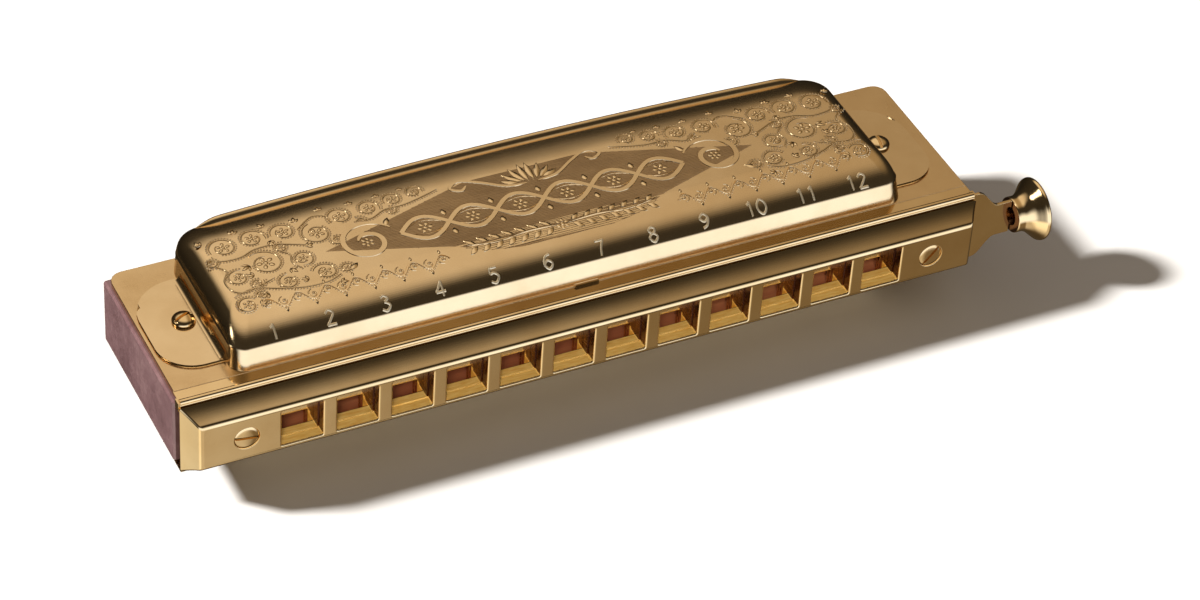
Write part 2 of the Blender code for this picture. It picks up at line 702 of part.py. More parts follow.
# ---------------------------------------------------------------- the whole harmonica
def build():
    clear_scene()
    satin_gold = material("satin_gold", (0.72, 0.53, 0.25), 0.3, 1.0)
    bright_gold = material("bright_gold", (0.85, 0.66, 0.30), 0.15, 1.0)
    plate_gold = material("plate_gold", (0.70, 0.50, 0.22), 0.35, 1.0)
    stained_wood = material("stained_wood", (0.22, 0.08, 0.07), 0.5, 0.0)
    reed_brass = material("reed_brass", (0.78, 0.62, 0.32), 0.3, 1.0)
    spring_steel = material("spring_steel", (0.55, 0.55, 0.55), 0.3, 1.0)
    sleeve_rubber = material("sleeve_rubber", (0.05, 0.05, 0.05), 0.8, 0.0)

    comb(stained_wood)
    for name, side in (("top", 1), ("bottom", -1)):
        reed_plate(name + "_reed_plate", side, plate_gold)
        cover(name + "_cover", side, satin_gold)
        for index in range(HOLES):
            draw_reed(f"{name}_draw_reed_{index + 1:02d}", index, side, reed_brass)
        places = [(x, y) for y in PIN_ROWS for x in PIN_COLUMNS]
        for number, (x, y) in enumerate(places, 1):
            plate_pin(f"{name}_plate_pin_{number}", x, y, side, plate_gold)

    for name, end, cover_slot, mouth_slot in (("left", -1, 20, 8), ("right", 1, 80, -48)):
        x = cover_x(end * COVER_SCREW_REACH)
        cover_screw("cover_screw_" + name, x, cover_slot, bright_gold)
        cover_nut("cover_nut_" + name, x, bright_gold)
        mouthpiece_screw("mouthpiece_screw_" + name, end * MOUTH_SCREW_X, mouth_slot, bright_gold)
        slide_bumper("slide_bumper_" + name, end * MOUTH_SCREW_X, sleeve_rubber)

    mouthpiece(bright_gold)
    slide_channel(bright_gold)
    slide_back_plate(plate_gold)
    slide_spring(spring_steel)

    slide_axis = bpy.data.objects.new("slide_axis", None)
    slide_axis.location = (0.0, SLIDE_MID_Y * MM, MIDDLE_Z * MM)
    bpy.context.scene.collection.objects.link(slide_axis)
    slide(bright_gold, slide_axis)
    slide_button(bright_gold, slide_axis)


build()
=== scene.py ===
"""Visual model of a twelve-hole slide chromatic harmonica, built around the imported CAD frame.

Shapes are drawn in millimetres in the frame's own axes and scaled to metres when their meshes are made.
"""
import math
import random

import bmesh
import bpy
from mathutils import Matrix, Vector


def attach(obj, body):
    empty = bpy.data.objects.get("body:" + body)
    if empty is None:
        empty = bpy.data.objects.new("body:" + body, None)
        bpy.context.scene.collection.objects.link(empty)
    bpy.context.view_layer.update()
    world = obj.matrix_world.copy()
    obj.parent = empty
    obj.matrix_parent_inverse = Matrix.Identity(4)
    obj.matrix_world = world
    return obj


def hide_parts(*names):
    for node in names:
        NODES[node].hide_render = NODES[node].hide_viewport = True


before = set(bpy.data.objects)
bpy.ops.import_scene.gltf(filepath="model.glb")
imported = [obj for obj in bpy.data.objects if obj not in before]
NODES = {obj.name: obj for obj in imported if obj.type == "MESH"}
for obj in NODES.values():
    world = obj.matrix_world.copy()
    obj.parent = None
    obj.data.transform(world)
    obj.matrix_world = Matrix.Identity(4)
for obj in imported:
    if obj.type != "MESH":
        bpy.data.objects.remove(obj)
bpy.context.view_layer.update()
MM = 0.001

HOLES = 12
PITCH = 9.5
MID = 14.5  # height of the comb's middle plane
COVER_X = -0.85  # the covers' centre
FOOT = 7.45  # a cover's foot, from the middle plane
CROWN = 6.93  # a cover's crown above its foot, below its relief
RELIEF = 0.12
SHEET = 0.4
COVER_HALF = 60.3
FRONT_Y, BACK_Y = -15.5, 15.5
BOW = 1.12  # the middle of the back edge stands out by this much
BOW_STEPS = 12
LIFT = 0.4  # and its lip stands higher there by this much
SCREW_REACH, SCREW_Y = 63.2, -0.8
MOUTH_FRONT, MOUTH_BACK = -22.4, -18.8
MOUTH_SCREW = 61.64
CHANNEL_FRONT = -18.75
CHANNEL_HALF = 71.4
COMB_FRONT = -16.85
SLIDE_Y = -17.75
BAR_HALF, BAR_TALL = 71.6, 6.6  # the mouthpiece's half length and half height
WELL = 2.05  # depth of the wider front part of a mouth hole
OPEN_HALF = 54.0  # half the length of a cover's open back
REED_PAD = -13.1  # a reed's riveted end
REED_SIDE = 2.15  # a reed's middle from its chamber's
INNER_FACE = 6.3  # a reed plate's inner face, from the middle plane
ROOT = -0.05  # relief starts this far under the surface that it stands on
WELD = 0.0005  # points closer than this are one
KEY = (-0.758, 0.237, 0.607)  # the direction of the key light


def hole_x(index):
    return (index - (HOLES - 1) / 2) * PITCH


def link(name, data):
    obj = bpy.data.objects.new(name, data)
    bpy.context.scene.collection.objects.link(obj)
    return obj


def map_range(tree, value, low, high, least, most):
    node = tree.nodes.new("ShaderNodeMapRange")
    tree.links.new(value, node.inputs["Value"])
    for socket, number in zip(("From Min", "From Max", "To Min", "To Max"), (low, high, least, most)):
        node.inputs[socket].default_value = number
    return node


def combine(tree, a, b, operation):
    node = tree.nodes.new("ShaderNodeMath")
    node.operation = operation
    tree.links.new(a, node.inputs[0])
    tree.links.new(b, node.inputs[1])
    return node.outputs[0]


# ---------------------------------------------------------------- camera, light and floor


def camera():
    data = bpy.data.cameras.new("camera")
    obj = link("camera", data)
    right = Vector((0.902293, -0.427418, 0.056402))
    down = Vector((-0.236933, -0.600911, -0.763393))
    ahead = Vector((0.360180, 0.675441, -0.643467))
    place = Vector((-0.225049, -0.442966, 0.424764))
    turn = Matrix((right, -down, -ahead)).transposed()
    obj.matrix_world = Matrix.Translation(place) @ turn.to_4x4()
    data.sensor_width = 36.0
    data.lens = 115.795
    data.clip_start = 0.02
    bpy.context.scene.camera = obj


def world_light():
    """What the plating mirrors: an overhead panel, a pale card in front, a paper floor, the key lamp and a dark back.

    The world is seen in reflections and gives no diffuse light. The floor and the suns aren't seen in reflections.
    """
    world = bpy.data.worlds.new("studio")
    bpy.context.scene.world = world
    world.use_nodes = True
    world.cycles_visibility.diffuse = False
    tree = world.node_tree
    tree.nodes.clear()
    where = tree.nodes.new("ShaderNodeTexCoord").outputs["Generated"]

    def along(direction):
        node = tree.nodes.new("ShaderNodeVectorMath")
        node.operation = "DOT_PRODUCT"
        tree.links.new(where, node.inputs[0])
        node.inputs[1].default_value = Vector(direction).normalized()
        return node.outputs["Value"]

    def step(value, low, high, least=0.0, most=1.0):
        node = map_range(tree, value, low, high, least, most)
        node.interpolation_type = "SMOOTHSTEP"
        return node.outputs["Result"]

    def lobe(direction, inner, outer):
        return step(along(direction), math.cos(math.radians(outer)), math.cos(math.radians(inner)))

    shaders = []

    def light(colour, *factors):
        total = factors[0]
        for factor in factors[1:]:
            total = combine(tree, total, factor, "MULTIPLY")
        background = tree.nodes.new("ShaderNodeBackground")
        tree.links.new(total, background.inputs["Strength"])
        background.inputs["Color"].default_value = (*colour, 1.0)
        shaders.append(background.outputs[0])

    up, right, ahead = along((0, 0, 1)), along((1, 0, 0)), along((0, -1, 0))
    light((1.0, 0.84, 0.62), step(up, -0.2, 0.6, 0.018, 0.04))
    # the overhead panel, warm, and whiter towards the left
    panel = lobe((0.25, 0.45, 0.85), 24, 53)
    above = step(up, 0.36, 0.66)
    light((0.36, 0.265, 0.155), panel, above)
    light((0.45, 0.44, 0.43), panel, above, step(right, 0.22, 0.52, 1.0, 0.0))
    # the card in front, which makes the bright band along the covers
    light((1.32, 1.44, 1.72), step(ahead, 0.35, 0.8), step(up, 0.62, 0.12, 0.0, 1.0), step(up, -0.55, -0.25))
    # the paper: in shade near the object, and lit to the left and at the back
    below = step(up, -0.3, -0.5, 0.0, 1.0)
    light((0.2, 0.15, 0.09), below, step(ahead, -0.2, 0.5, 0.25, 1.0))
    light((0.46, 0.45, 0.42), below, step(ahead, 0.0, 0.5), step(right, 0.2, 0.39, 1.0, 0.0))
    light((0.75, 0.74, 0.68), below, step(right, -0.3, -0.65), step(ahead, -0.35, -0.15))
    light((5.0, 4.9, 4.7), lobe(KEY, 3, 11))
    total = shaders[0]
    for shader in shaders[1:]:
        node = tree.nodes.new("ShaderNodeAddShader")
        tree.links.new(total, node.inputs[0])
        tree.links.new(shader, node.inputs[1])
        total = node.outputs[0]
    output = tree.nodes.new("ShaderNodeOutputWorld")
    tree.links.new(total, output.inputs["Surface"])


def sun(name, towards, energy, degrees, colour):
    data = bpy.data.lights.new(name, "SUN")
    data.energy = energy
    data.angle = math.radians(degrees)
    data.color = colour
    obj = link(name, data)
    obj.rotation_euler = Vector(towards).to_track_quat("Z", "Y").to_euler()
    obj.visible_glossy = False
    return obj


# ---------------------------------------------------------------- materials
class Look:
    """A Principled material whose colour, roughness and bump vary with the surface's own coordinates."""

    def __init__(self, name, metallic=1.0):
        self.made = bpy.data.materials.new(name)
        self.made.use_nodes = True
        self.tree = self.made.node_tree
        self.shader = self.tree.nodes["Principled BSDF"]
        self.shader.inputs["Metallic"].default_value = metallic
        self.where = self.tree.nodes.new("ShaderNodeTexCoord").outputs["Object"]

    def set(self, socket, value):
        self.shader.inputs[socket].default_value = value

    def noise(self, scale, stretch=(1, 1, 1), detail=4.0, rough=0.55):
        """Noise with features about 1/scale metres across, longer along an axis with a small stretch."""
        mapping = self.tree.nodes.new("ShaderNodeMapping")
        mapping.inputs["Scale"].default_value = stretch
        self.tree.links.new(self.where, mapping.inputs["Vector"])
        node = self.tree.nodes.new("ShaderNodeTexNoise")
        node.inputs["Scale"].default_value = scale
        node.inputs["Detail"].default_value = detail
        node.inputs["Roughness"].default_value = rough
        self.tree.links.new(mapping.outputs[0], node.inputs["Vector"])
        return node.outputs[0]

    def spread(self, value, low, high, least, most):
        return map_range(self.tree, value, low, high, least, most).outputs["Result"]

    def add(self, a, b, operation="ADD"):
        return combine(self.tree, a, b, operation)

    def ramp(self, value, *stops):
        ramp = self.tree.nodes.new("ShaderNodeValToRGB")
        elements = ramp.color_ramp.elements
        for number, (place, colour) in enumerate(stops):
            element = elements[number] if number < 2 else elements.new(place)
            element.position = place
            element.color = (*colour, 1.0)
        self.tree.links.new(value, ramp.inputs[0])
        return ramp.outputs[0]

    def colour(self, value):
        self.tree.links.new(value, self.shader.inputs["Base Color"])

    def roughness(self, value):
        self.tree.links.new(value, self.shader.inputs["Roughness"])

    def bump(self, value, height, strength=1.0):
        node = self.tree.nodes.new("ShaderNodeBump")
        node.inputs["Strength"].default_value = strength
        node.inputs["Distance"].default_value = height
        self.tree.links.new(value, node.inputs["Height"])
        self.tree.links.new(node.outputs[0], self.shader.inputs["Normal"])


def gold(name, bright, worn, rough, spread, wave=0.5, scratch=0.35):
    """Plated metal: cloudy tarnish, fine scratches in two directions and a slight waviness of the sheet."""
    look = Look(name)
    cloud = look.noise(110.0, detail=6.0)
    look.colour(look.ramp(cloud, (0.36, bright), (0.74, worn)))
    fine = look.add(look.noise(420.0, (1.0, 14.0, 14.0), 3.0), look.noise(500.0, (11.0, 1.2, 11.0), 3.0), "MULTIPLY")
    look.roughness(look.spread(look.add(fine, cloud), 0.45, 1.15, rough, rough + spread))
    surface = look.add(
        look.spread(look.noise(160.0, detail=2.0), 0, 1, 0, wave), look.spread(fine, 0, 1, 0, scratch)
    )
    look.bump(surface, 0.000012)
    return look.made


def wood(name):
    """Stained and lacquered outside; raw between the chambers' ends and short of the back."""
    look = Look(name, 0.0)
    grain = look.noise(95.0, (0.12, 1.0, 1.0), 8.0, 0.62)
    pores = look.noise(900.0, (0.05, 1.0, 1.0), 2.0)
    fibre = look.add(grain, look.spread(pores, 0.3, 0.8, -0.08, 0.08))
    stained = look.ramp(
        fibre, (0.28, (0.066, 0.034, 0.037)), (0.52, (0.098, 0.054, 0.058)), (0.72, (0.13, 0.078, 0.080))
    )
    raw = look.ramp(fibre, (0.28, (0.17, 0.052, 0.03)), (0.52, (0.30, 0.11, 0.06)), (0.72, (0.42, 0.19, 0.10)))
    apart = look.tree.nodes.new("ShaderNodeSeparateXYZ")
    look.tree.links.new(look.where, apart.inputs[0])
    size = look.tree.nodes.new("ShaderNodeMath")
    size.operation = "ABSOLUTE"
    look.tree.links.new(apart.outputs["X"], size.inputs[0])
    blend = look.tree.nodes.new("ShaderNodeMix")
    blend.data_type = "RGBA"
    ends = look.spread(size.outputs[0], 0.0585, 0.060, 0.0, 1.0)
    back = look.spread(apart.outputs["Y"], 0.0150, 0.0152, 0.0, 1.0)
    look.tree.links.new(look.add(ends, back), blend.inputs["Factor"])
    look.tree.links.new(raw, blend.inputs[6])
    look.tree.links.new(stained, blend.inputs[7])
    look.colour(blend.outputs[2])
    look.roughness(look.spread(pores, 0.3, 0.7, 0.34, 0.56))
    look.bump(look.add(grain, pores), 0.00005, 0.6)
    look.set("Coat Weight", 0.35)
    look.set("Coat Roughness", 0.18)
    return look.made


def plain(name, dark, light, rough, metallic, scale=300.0, stretch=(1, 1, 1), height=0.00001):
    look = Look(name, metallic)
    value = look.noise(scale, stretch, 5.0)
    look.colour(look.ramp(value, (0.3, dark), (0.7, light)))
    look.roughness(look.spread(value, 0.3, 0.7, rough * 0.85, rough * 1.2))
    look.bump(value, height)
    return look.made


# ---------------------------------------------------------------- mesh helpers
def mesh_of(bm, name):
    mesh = bpy.data.meshes.new(name)
    bm.to_mesh(mesh)
    bm.free()
    return mesh


def face_out(bm):
    bmesh.ops.recalc_face_normals(bm, faces=bm.faces)


def add_piece(name, bm, look, nodes=(), body="body", smooth=40, inner=()):
    """Turn millimetre geometry into a piece that rides on a body and stands for the named CAD nodes."""
    face_out(bm)
    bm.transform(Matrix.Scale(MM, 4))
    mesh = mesh_of(bm, name)
    mesh.materials.append(look)
    for other in inner:
        mesh.materials.append(other)
    mesh.shade_smooth()
    mesh.set_sharp_from_angle(angle=math.radians(smooth))
    obj = link(name, mesh)
    even = obj.modifiers.new("even", "WEIGHTED_NORMAL")
    even.keep_sharp = True
    even.weight = 90
    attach(obj, body)
    if nodes:
        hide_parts(*nodes)
    return obj


def baked(obj, *helpers):
    """The object's evaluated mesh as new geometry, once the object and its helpers are deleted."""
    bpy.context.view_layer.update()
    evaluated = obj.evaluated_get(bpy.context.evaluated_depsgraph_get())
    bm = bmesh.new()
    bm.from_mesh(evaluated.to_mesh())
    evaluated.to_mesh_clear()
    for used in (obj, *helpers):
        mesh = used.data
        bpy.data.objects.remove(used)
        bpy.data.meshes.remove(mesh)
    return bm


def cut(bm, *tools):
    """Return bm with each tool taken away from it."""
    base = link("cut_base", mesh_of(bm, "cut_base"))
    helpers = []
    for tool in tools:
        face_out(tool)
        helpers.append(link("cut_tool", mesh_of(tool, "cut_tool")))
        step = base.modifiers.new("cut", "BOOLEAN")
        step.operation = "DIFFERENCE"
        step.solver = "EXACT"
        step.object = helpers[-1]
    result = baked(base, *helpers)
    bmesh.ops.remove_doubles(result, verts=result.verts, dist=WELD)
    return result


def merge(bm, other):
    mesh = mesh_of(other, "merged")
    bm.from_mesh(mesh)
    bpy.data.meshes.remove(mesh)


def slotted(bm, low, high, place, degrees, axis):
    """Cut a screwdriver slot, a box that is turned about an axis and then moved to its place."""
    groove = bmesh.new()
    box(groove, low, high)
    groove.transform(Matrix.Translation(place) @ Matrix.Rotation(math.radians(degrees), 4, axis))
    face_out(bm)
    return cut(bm, groove)


def round_edges(bm, width, segments=2, degrees=30, where=None):
    """Bevel the edges sharper than degrees, or those of them whose middle is where says."""
    limit = math.radians(degrees)
    edges = []
    for edge in bm.edges:
        if len(edge.link_faces) == 2 and edge.calc_face_angle(0) > limit:
            if where is None or where((edge.verts[0].co + edge.verts[1].co) / 2):
                edges.append(edge)
    bmesh.ops.bevel(
        bm, geom=edges, offset=width, segments=segments, profile=0.5, affect="EDGES",
        clamp_overlap=False, offset_type="OFFSET",
    )
    return bm


def node_mesh(name):
    """A CAD node's mesh at rest as new geometry, in millimetres, with its flat faces joined."""
    bm = bmesh.new()
    obj = NODES[name]
    bm.from_mesh(obj.data)
    bm.transform(Matrix.Scale(1 / MM, 4) @ obj.matrix_world)
    bmesh.ops.remove_doubles(bm, verts=bm.verts, dist=WELD)
    bmesh.ops.dissolve_limit(bm, angle_limit=math.radians(0.5), verts=bm.verts, edges=bm.edges)
    return bm


def join(bm, low, high):
    """Close the gap between two rings of the same length."""
    for i in range(len(low)):
        j = (i + 1) % len(low)
        bm.faces.new((low[i], low[j], high[j], high[i]))


def box(bm, low, high):
    corners = [bm.verts.new((x, y, z)) for z in (low[2], high[2]) for y in (low[1], high[1]) for x in (low[0], high[0])]
    for face in ((0, 2, 3, 1), (4, 5, 7, 6), (0, 1, 5, 4), (2, 6, 7, 3), (0, 4, 6, 2), (1, 3, 7, 5)):
        bm.faces.new([corners[i] for i in face])


def prism(bm, outline, start, end, place):
    """A solid with this outline from start to end; place(a, b, c) gives x, y, z."""
    near = [bm.verts.new(place(a, b, start)) for a, b in outline]
    far = [bm.verts.new(place(a, b, end)) for a, b in outline]
    bm.faces.new(near)
    bm.faces.new(list(reversed(far)))
    join(bm, near, far)


def on_xy(a, b, c):
    return (a, b, c)


def on_xz(a, b, c):
    return (a, c, b)


def on_yz(a, b, c):
    return (c, a, b)


def arc(centre, radius, start, end, steps):
    """Points of an arc between two angles in degrees."""
    points = []
    for i in range(steps + 1):
        angle = math.radians(start + (end - start) * i / steps)
        points.append((centre[0] + radius * math.cos(angle), centre[1] + radius * math.sin(angle)))
    return points


def circle(centre, radius, sides):
    return arc(centre, radius, 0.0, 360.0 * (1 - 1 / sides), sides - 1)


def turned(bm, profile, place, sides):
    """Spin (distance along the axis, radius) points; place(along, a, b) gives x, y, z."""
    rings = []
    for along, radius in profile:
        points = circle((0.0, 0.0), radius, sides) if radius else [(0.0, 0.0)]
        rings.append([bm.verts.new(place(along, a, b)) for a, b in points])
    for low, high in zip(rings, rings[1:]):
        for i in range(sides):
            j = (i + 1) % sides
            face = [low[i % len(low)], low[j % len(low)], high[j % len(high)], high[i % len(high)]]
            face = list(dict.fromkeys(face))
            if len(face) > 2:
                bm.faces.new(face)
    for ring in (rings[0], rings[-1]):
        if len(ring) > 1:
            bm.faces.new(ring)


def smooth_path(points, steps=8, closed=False):
    """A Catmull-Rom curve through points of any number of coordinates."""
    made = []
    count = len(points)
    spans = count if closed else count - 1
    for i in range(spans):
        if closed:
            p0, p1, p2, p3 = (points[(i + k) % count] for k in (-1, 0, 1, 2))
        else:
            p0, p1, p2, p3 = (points[min(max(i + k, 0), count - 1)] for k in (-1, 0, 1, 2))
        for step in range(steps):
            t = step / steps
            made.append(tuple(
                0.5 * (2 * b + (c - a) * t + (2 * a - 5 * b + 4 * c - d) * t * t + (3 * b - a - 3 * c + d) * t ** 3)
                for a, b, c, d in zip(p0, p1, p2, p3)
            ))
    if not closed:
        made.append(tuple(points[-1]))
    return made


def tube(bm, route, radius, sides):
    """A round wire along 3-D points, with capped ends."""
    route = [Vector(p) for p in route]
    up = Vector((0, 0, 1))
    rings = []
    for i, point in enumerate(route):
        ahead = (route[min(i + 1, len(route) - 1)] - route[max(i - 1, 0)]).normalized()
        side = ahead.cross(up)
        if side.length < 0.05:
            side = ahead.cross(Vector((1, 0, 0)))
        side.normalize()
        lift = side.cross(ahead)
        rings.append([bm.verts.new(point + side * a + lift * b) for a, b in circle((0, 0), radius, sides)])
    for low, high in zip(rings, rings[1:]):
        join(bm, low, high)
    bm.faces.new(rings[0])
    bm.faces.new(rings[-1])


# ---------------------------------------------------------------- relief, drawn on a surface
class Relief:
    """Raised strokes, beads and leaves; chart(x, b, height) gives a point that far above the surface."""

    def __init__(self, chart):
        self.bm = bmesh.new()
        self.chart = chart

    def stroke(self, path, width=0.34, height=RELIEF, flat=False, taper=True):
        """A ridge along a path; flat gives it a level top with bevelled sides."""
        half = width / 2
        if flat:
            rim = min(0.1, half * 0.4)
            shape = ((-half, ROOT), (rim - half, 1.0), (half - rim, 1.0), (half, ROOT))
        else:
            shape = ((-half, ROOT), (-0.55 * half, 0.7), (0.0, 1.0), (0.55 * half, 0.7), (half, ROOT))
        rings = []
        last = len(path) - 1
        for i, (a, b) in enumerate(path):
            da = path[min(i + 1, last)][0] - path[max(i - 1, 0)][0]
            db = path[min(i + 1, last)][1] - path[max(i - 1, 0)][1]
            size = math.hypot(da, db) or 1.0
            na, nb = -db / size, da / size
            thin = 1.0
            if taper:
                thin = min(1.0, 0.35 + 0.65 * min(i, last - i) / max(1, last * 0.12))
            ring = []
            for across, lift in shape:
                h = ROOT if lift < 0 else height * lift
                ring.append(self.bm.verts.new(self.chart(a + na * across * thin, b + nb * across * thin, h)))
            rings.append(ring)
        for low, high in zip(rings, rings[1:]):
            for i in range(len(shape)):
                j = (i + 1) % len(shape)
                self.bm.faces.new((low[i], high[i], high[j], low[j]))
        self.bm.faces.new(rings[0])
        self.bm.faces.new(list(reversed(rings[-1])))

    def dome(self, a, b, radius, height=RELIEF * 0.8, stretch=1.0, turn=0.0, sides=8):
        c, s = math.cos(turn), math.sin(turn)
        rings = []
        for share, lift in ((1.0, ROOT), (0.78, height * 0.62), (0.4, height * 0.93)):
            ring = []
            for x, y in circle((0, 0), radius * share, sides):
                x *= stretch
                ring.append(self.bm.verts.new(self.chart(a + x * c - y * s, b + x * s + y * c, lift)))
            rings.append(ring)
        for low, high in zip(rings, rings[1:]):
            join(self.bm, low, high)
        self.bm.faces.new(rings[-1])
        self.bm.faces.new(list(reversed(rings[0])))

    def beads(self, path, pitch=0.5, radius=0.17):
        left = pitch / 2
        for (a0, b0), (a1, b1) in zip(path, path[1:]):
            size = math.hypot(a1 - a0, b1 - b0)
            while size > 0 and left <= size:
                t = left / size
                self.dome(a0 + (a1 - a0) * t, b0 + (b1 - b0) * t, radius, RELIEF * 0.95, sides=6)
                left += pitch
            left -= size

    def rosette(self, a, b, radius, petals=5, turn=0.3):
        self.dome(a, b, radius * 0.3, RELIEF)
        for k in range(petals):
            angle = turn + 2 * math.pi * k / petals
            reach = radius * 0.64
            self.dome(
                a + reach * math.cos(angle), b + reach * math.sin(angle), radius * 0.27, RELIEF * 0.9, 1.35, angle
            )

    def leaf(self, a, b, length, width, degrees):
        """A raised pointed leaf with a midrib, from its stalk at a, b."""
        angle = math.radians(degrees)
        c, s = math.cos(angle), math.sin(angle)

        def at(x, y):
            return (a + x * c - y * s, b + x * s + y * c)

        ring = [(0, 0), (0.25, 0.36), (0.5, 0.5), (0.75, 0.34), (1, 0), (0.75, -0.34), (0.5, -0.5), (0.25, -0.36)]
        low = [self.bm.verts.new(self.chart(*at(x * length, y * width), ROOT)) for x, y in ring]
        mid = [
            self.bm.verts.new(self.chart(*at((0.06 + 0.88 * x) * length, y * width * 0.8), RELIEF * 0.45))
            for x, y in ring
        ]
        ridge = [self.bm.verts.new(self.chart(*at(x * length, 0), RELIEF)) for x in (0.12, 0.5, 0.85)]
        self.bm.faces.new(list(reversed(low)))
        join(self.bm, low, mid)
        for face in (
            (mid[0], mid[1], ridge[0]), (mid[1], mid[2], ridge[1], ridge[0]), (mid[2], mid[3], ridge[2], ridge[1]),
            (mid[3], mid[4], ridge[2]), (mid[4], mid[5], ridge[2]), (mid[5], mid[6], ridge[1], ridge[2]),
            (mid[6], mid[7], ridge[0], ridge[1]), (mid[7], mid[0], ridge[0]),
        ):
            self.bm.faces.new(face)


def spiral(a, b, outer, inner, turns, start, turn=1, steps=22):
    """A volute inwards from its outer end, which is at start degrees; turn is 1 for anticlockwise."""
    path = []
    count = max(6, int(steps * turns))
    for i in range(count + 1):
        t = i / count
        radius = outer + (inner - outer) * t ** 0.85
        angle = math.radians(start + turn * 360 * turns * t)
        path.append((a + radius * math.cos(angle), b + radius * math.sin(angle)))
    return path


# ---------------------------------------------------------------- covers
def bend(points, radius, start, end, steps):
    """Continue a section round a convex bend between two slopes in degrees."""
    y, z = points[-1]
    first = math.radians(start)
    for k in range(1, steps + 1):
        tilt = math.radians(start + (end - start) * k / steps)
        across, down = math.sin(tilt) - math.sin(first), math.cos(first) - math.cos(tilt)
        points.append((y + radius * across, z - radius * down))


# each section runs outwards from the crown: distance from the flat top's edge, height above the foot
FRONT_SECTION = [(0.0, CROWN)]
bend(FRONT_SECTION, 11.07, 0, 45, 26)
bend(FRONT_SECTION, 1.2, 45, 75, 9)
FRONT_SECTION.append((FRONT_SECTION[-1][0] + FRONT_SECTION[-1][1] / math.tan(math.radians(75)), 0.0))
BACK_SECTION = [(0.0, CROWN)]
bend(BACK_SECTION, 16.0, 0, 20, 14)
bend(BACK_SECTION, 5.0, 20, 40, 8)
bend(BACK_SECTION, 0.9, 40, 90, 8)
BACK_SECTION.append((BACK_SECTION[-1][0], 0.0))
FLAT_FRONT = FRONT_Y + FRONT_SECTION[-1][0]
FLAT_BACK = BACK_Y - BACK_SECTION[-1][0]


def reach_at(section, height):
    """How far out the section is at this height above the foot."""
    for (y0, z0), (y1, z1) in zip(section, section[1:]):
        if z1 <= height <= z0:
            return y0 + (y1 - y0) * (z0 - height) / ((z0 - z1) or 1.0)
    return section[-1][0]


def height_at(section, reach):
    for (y0, z0), (y1, z1) in zip(section, section[1:]):
        if y0 <= reach <= y1 and y1 > y0:
            return z0 + (z1 - z0) * (reach - y0) / (y1 - y0)
    return 0.0 if reach > 0 else CROWN


def cover_height(y):
    """The cover's height above its foot at this depth, away from its ends."""
    if y < FLAT_FRONT:
        return height_at(FRONT_SECTION, FLAT_FRONT - y)
    return height_at(BACK_SECTION, max(y - FLAT_BACK, 0.0))


def bow_at(x):
    """How much of the bow the back edge has at this distance from the cover's centre."""
    return max(0.0, 1 - (x / OPEN_HALF) ** 2)


def cover_chart(side, mirror=1):
    """A chart of a cover's outside: x from its centre, y, and the height above the surface."""

    def place(a, y, height):
        slope = (cover_height(y + 0.02) - cover_height(y - 0.02)) / 0.04
        size = math.hypot(1.0, slope)
        return (
            COVER_X + mirror * a,
            y - slope * height / size,
            MID + side * (FOOT + cover_height(y) + height / size),
        )

    return place


def rounding(fraction, start):
    """How far an edge that is rounded from start up to 1 has come in, as a share of its radius."""
    if fraction <= start:
        return 0.0
    reach = (fraction - start) / (1 - start)
    return 1 - math.sqrt(max(0.0, 1 - reach * reach))


def cover_ring(f):
    """The cover's outline at a fraction of its height, from the front right corner anticlockwise."""
    end = 0.85 * f + 3.4 * rounding(f, 0.49)
    crease = 0.16 * math.exp(-(((f - 0.5) / 0.022) ** 2))
    out = reach_at(BACK_SECTION, f * CROWN)
    half = COVER_HALF - end
    low, high = FLAT_FRONT - reach_at(FRONT_SECTION, f * CROWN), FLAT_BACK + out
    front_corner = max(2.8 - 0.2 * end, 0.8)
    back_corner = 5.0 - 0.3 * end
    opening = min(OPEN_HALF, half - back_corner - 0.2)
    ring = arc((half - front_corner, low + front_corner), front_corner, -90, 0, 9)
    ring += [(half, low + (high - low) * t) for t in (0.3, 0.5, 0.7)]
    ring += arc((half - back_corner, high - back_corner), back_corner, 0, 90, 13)
    bow = BOW * out / BACK_SECTION[-1][0]
    for k in range(BOW_STEPS + 1):
        x = opening * (1 - 2 * k / BOW_STEPS)
        ring.append((x, high + bow * bow_at(x)))
    ring += arc((back_corner - half, high - back_corner), back_corner, 90, 180, 13)
    ring += [(-half, low + (high - low) * t) for t in (0.7, 0.5, 0.3)]
    ring += arc((front_corner - half, low + front_corner), front_corner, 180, 270, 9)
    made = []
    for x, y in ring:
        along = min(max((abs(x) - half + 0.6) / 0.6, 0.0), 1.0)
        made.append((COVER_X + x + math.copysign(crease * along, x), y))
    return made


# the rolled lip's section about its middle: a hollow in front, then the roll
LIP_SECTION = (
    (-1.6, -0.3), (-1.15, -0.12), (-0.75, 0.1), (-0.3, 0.48), (0.1, 0.62), (0.5, 0.4), (0.64, 0.0), (0.35, -0.5),
    (-0.6, -0.58),
)


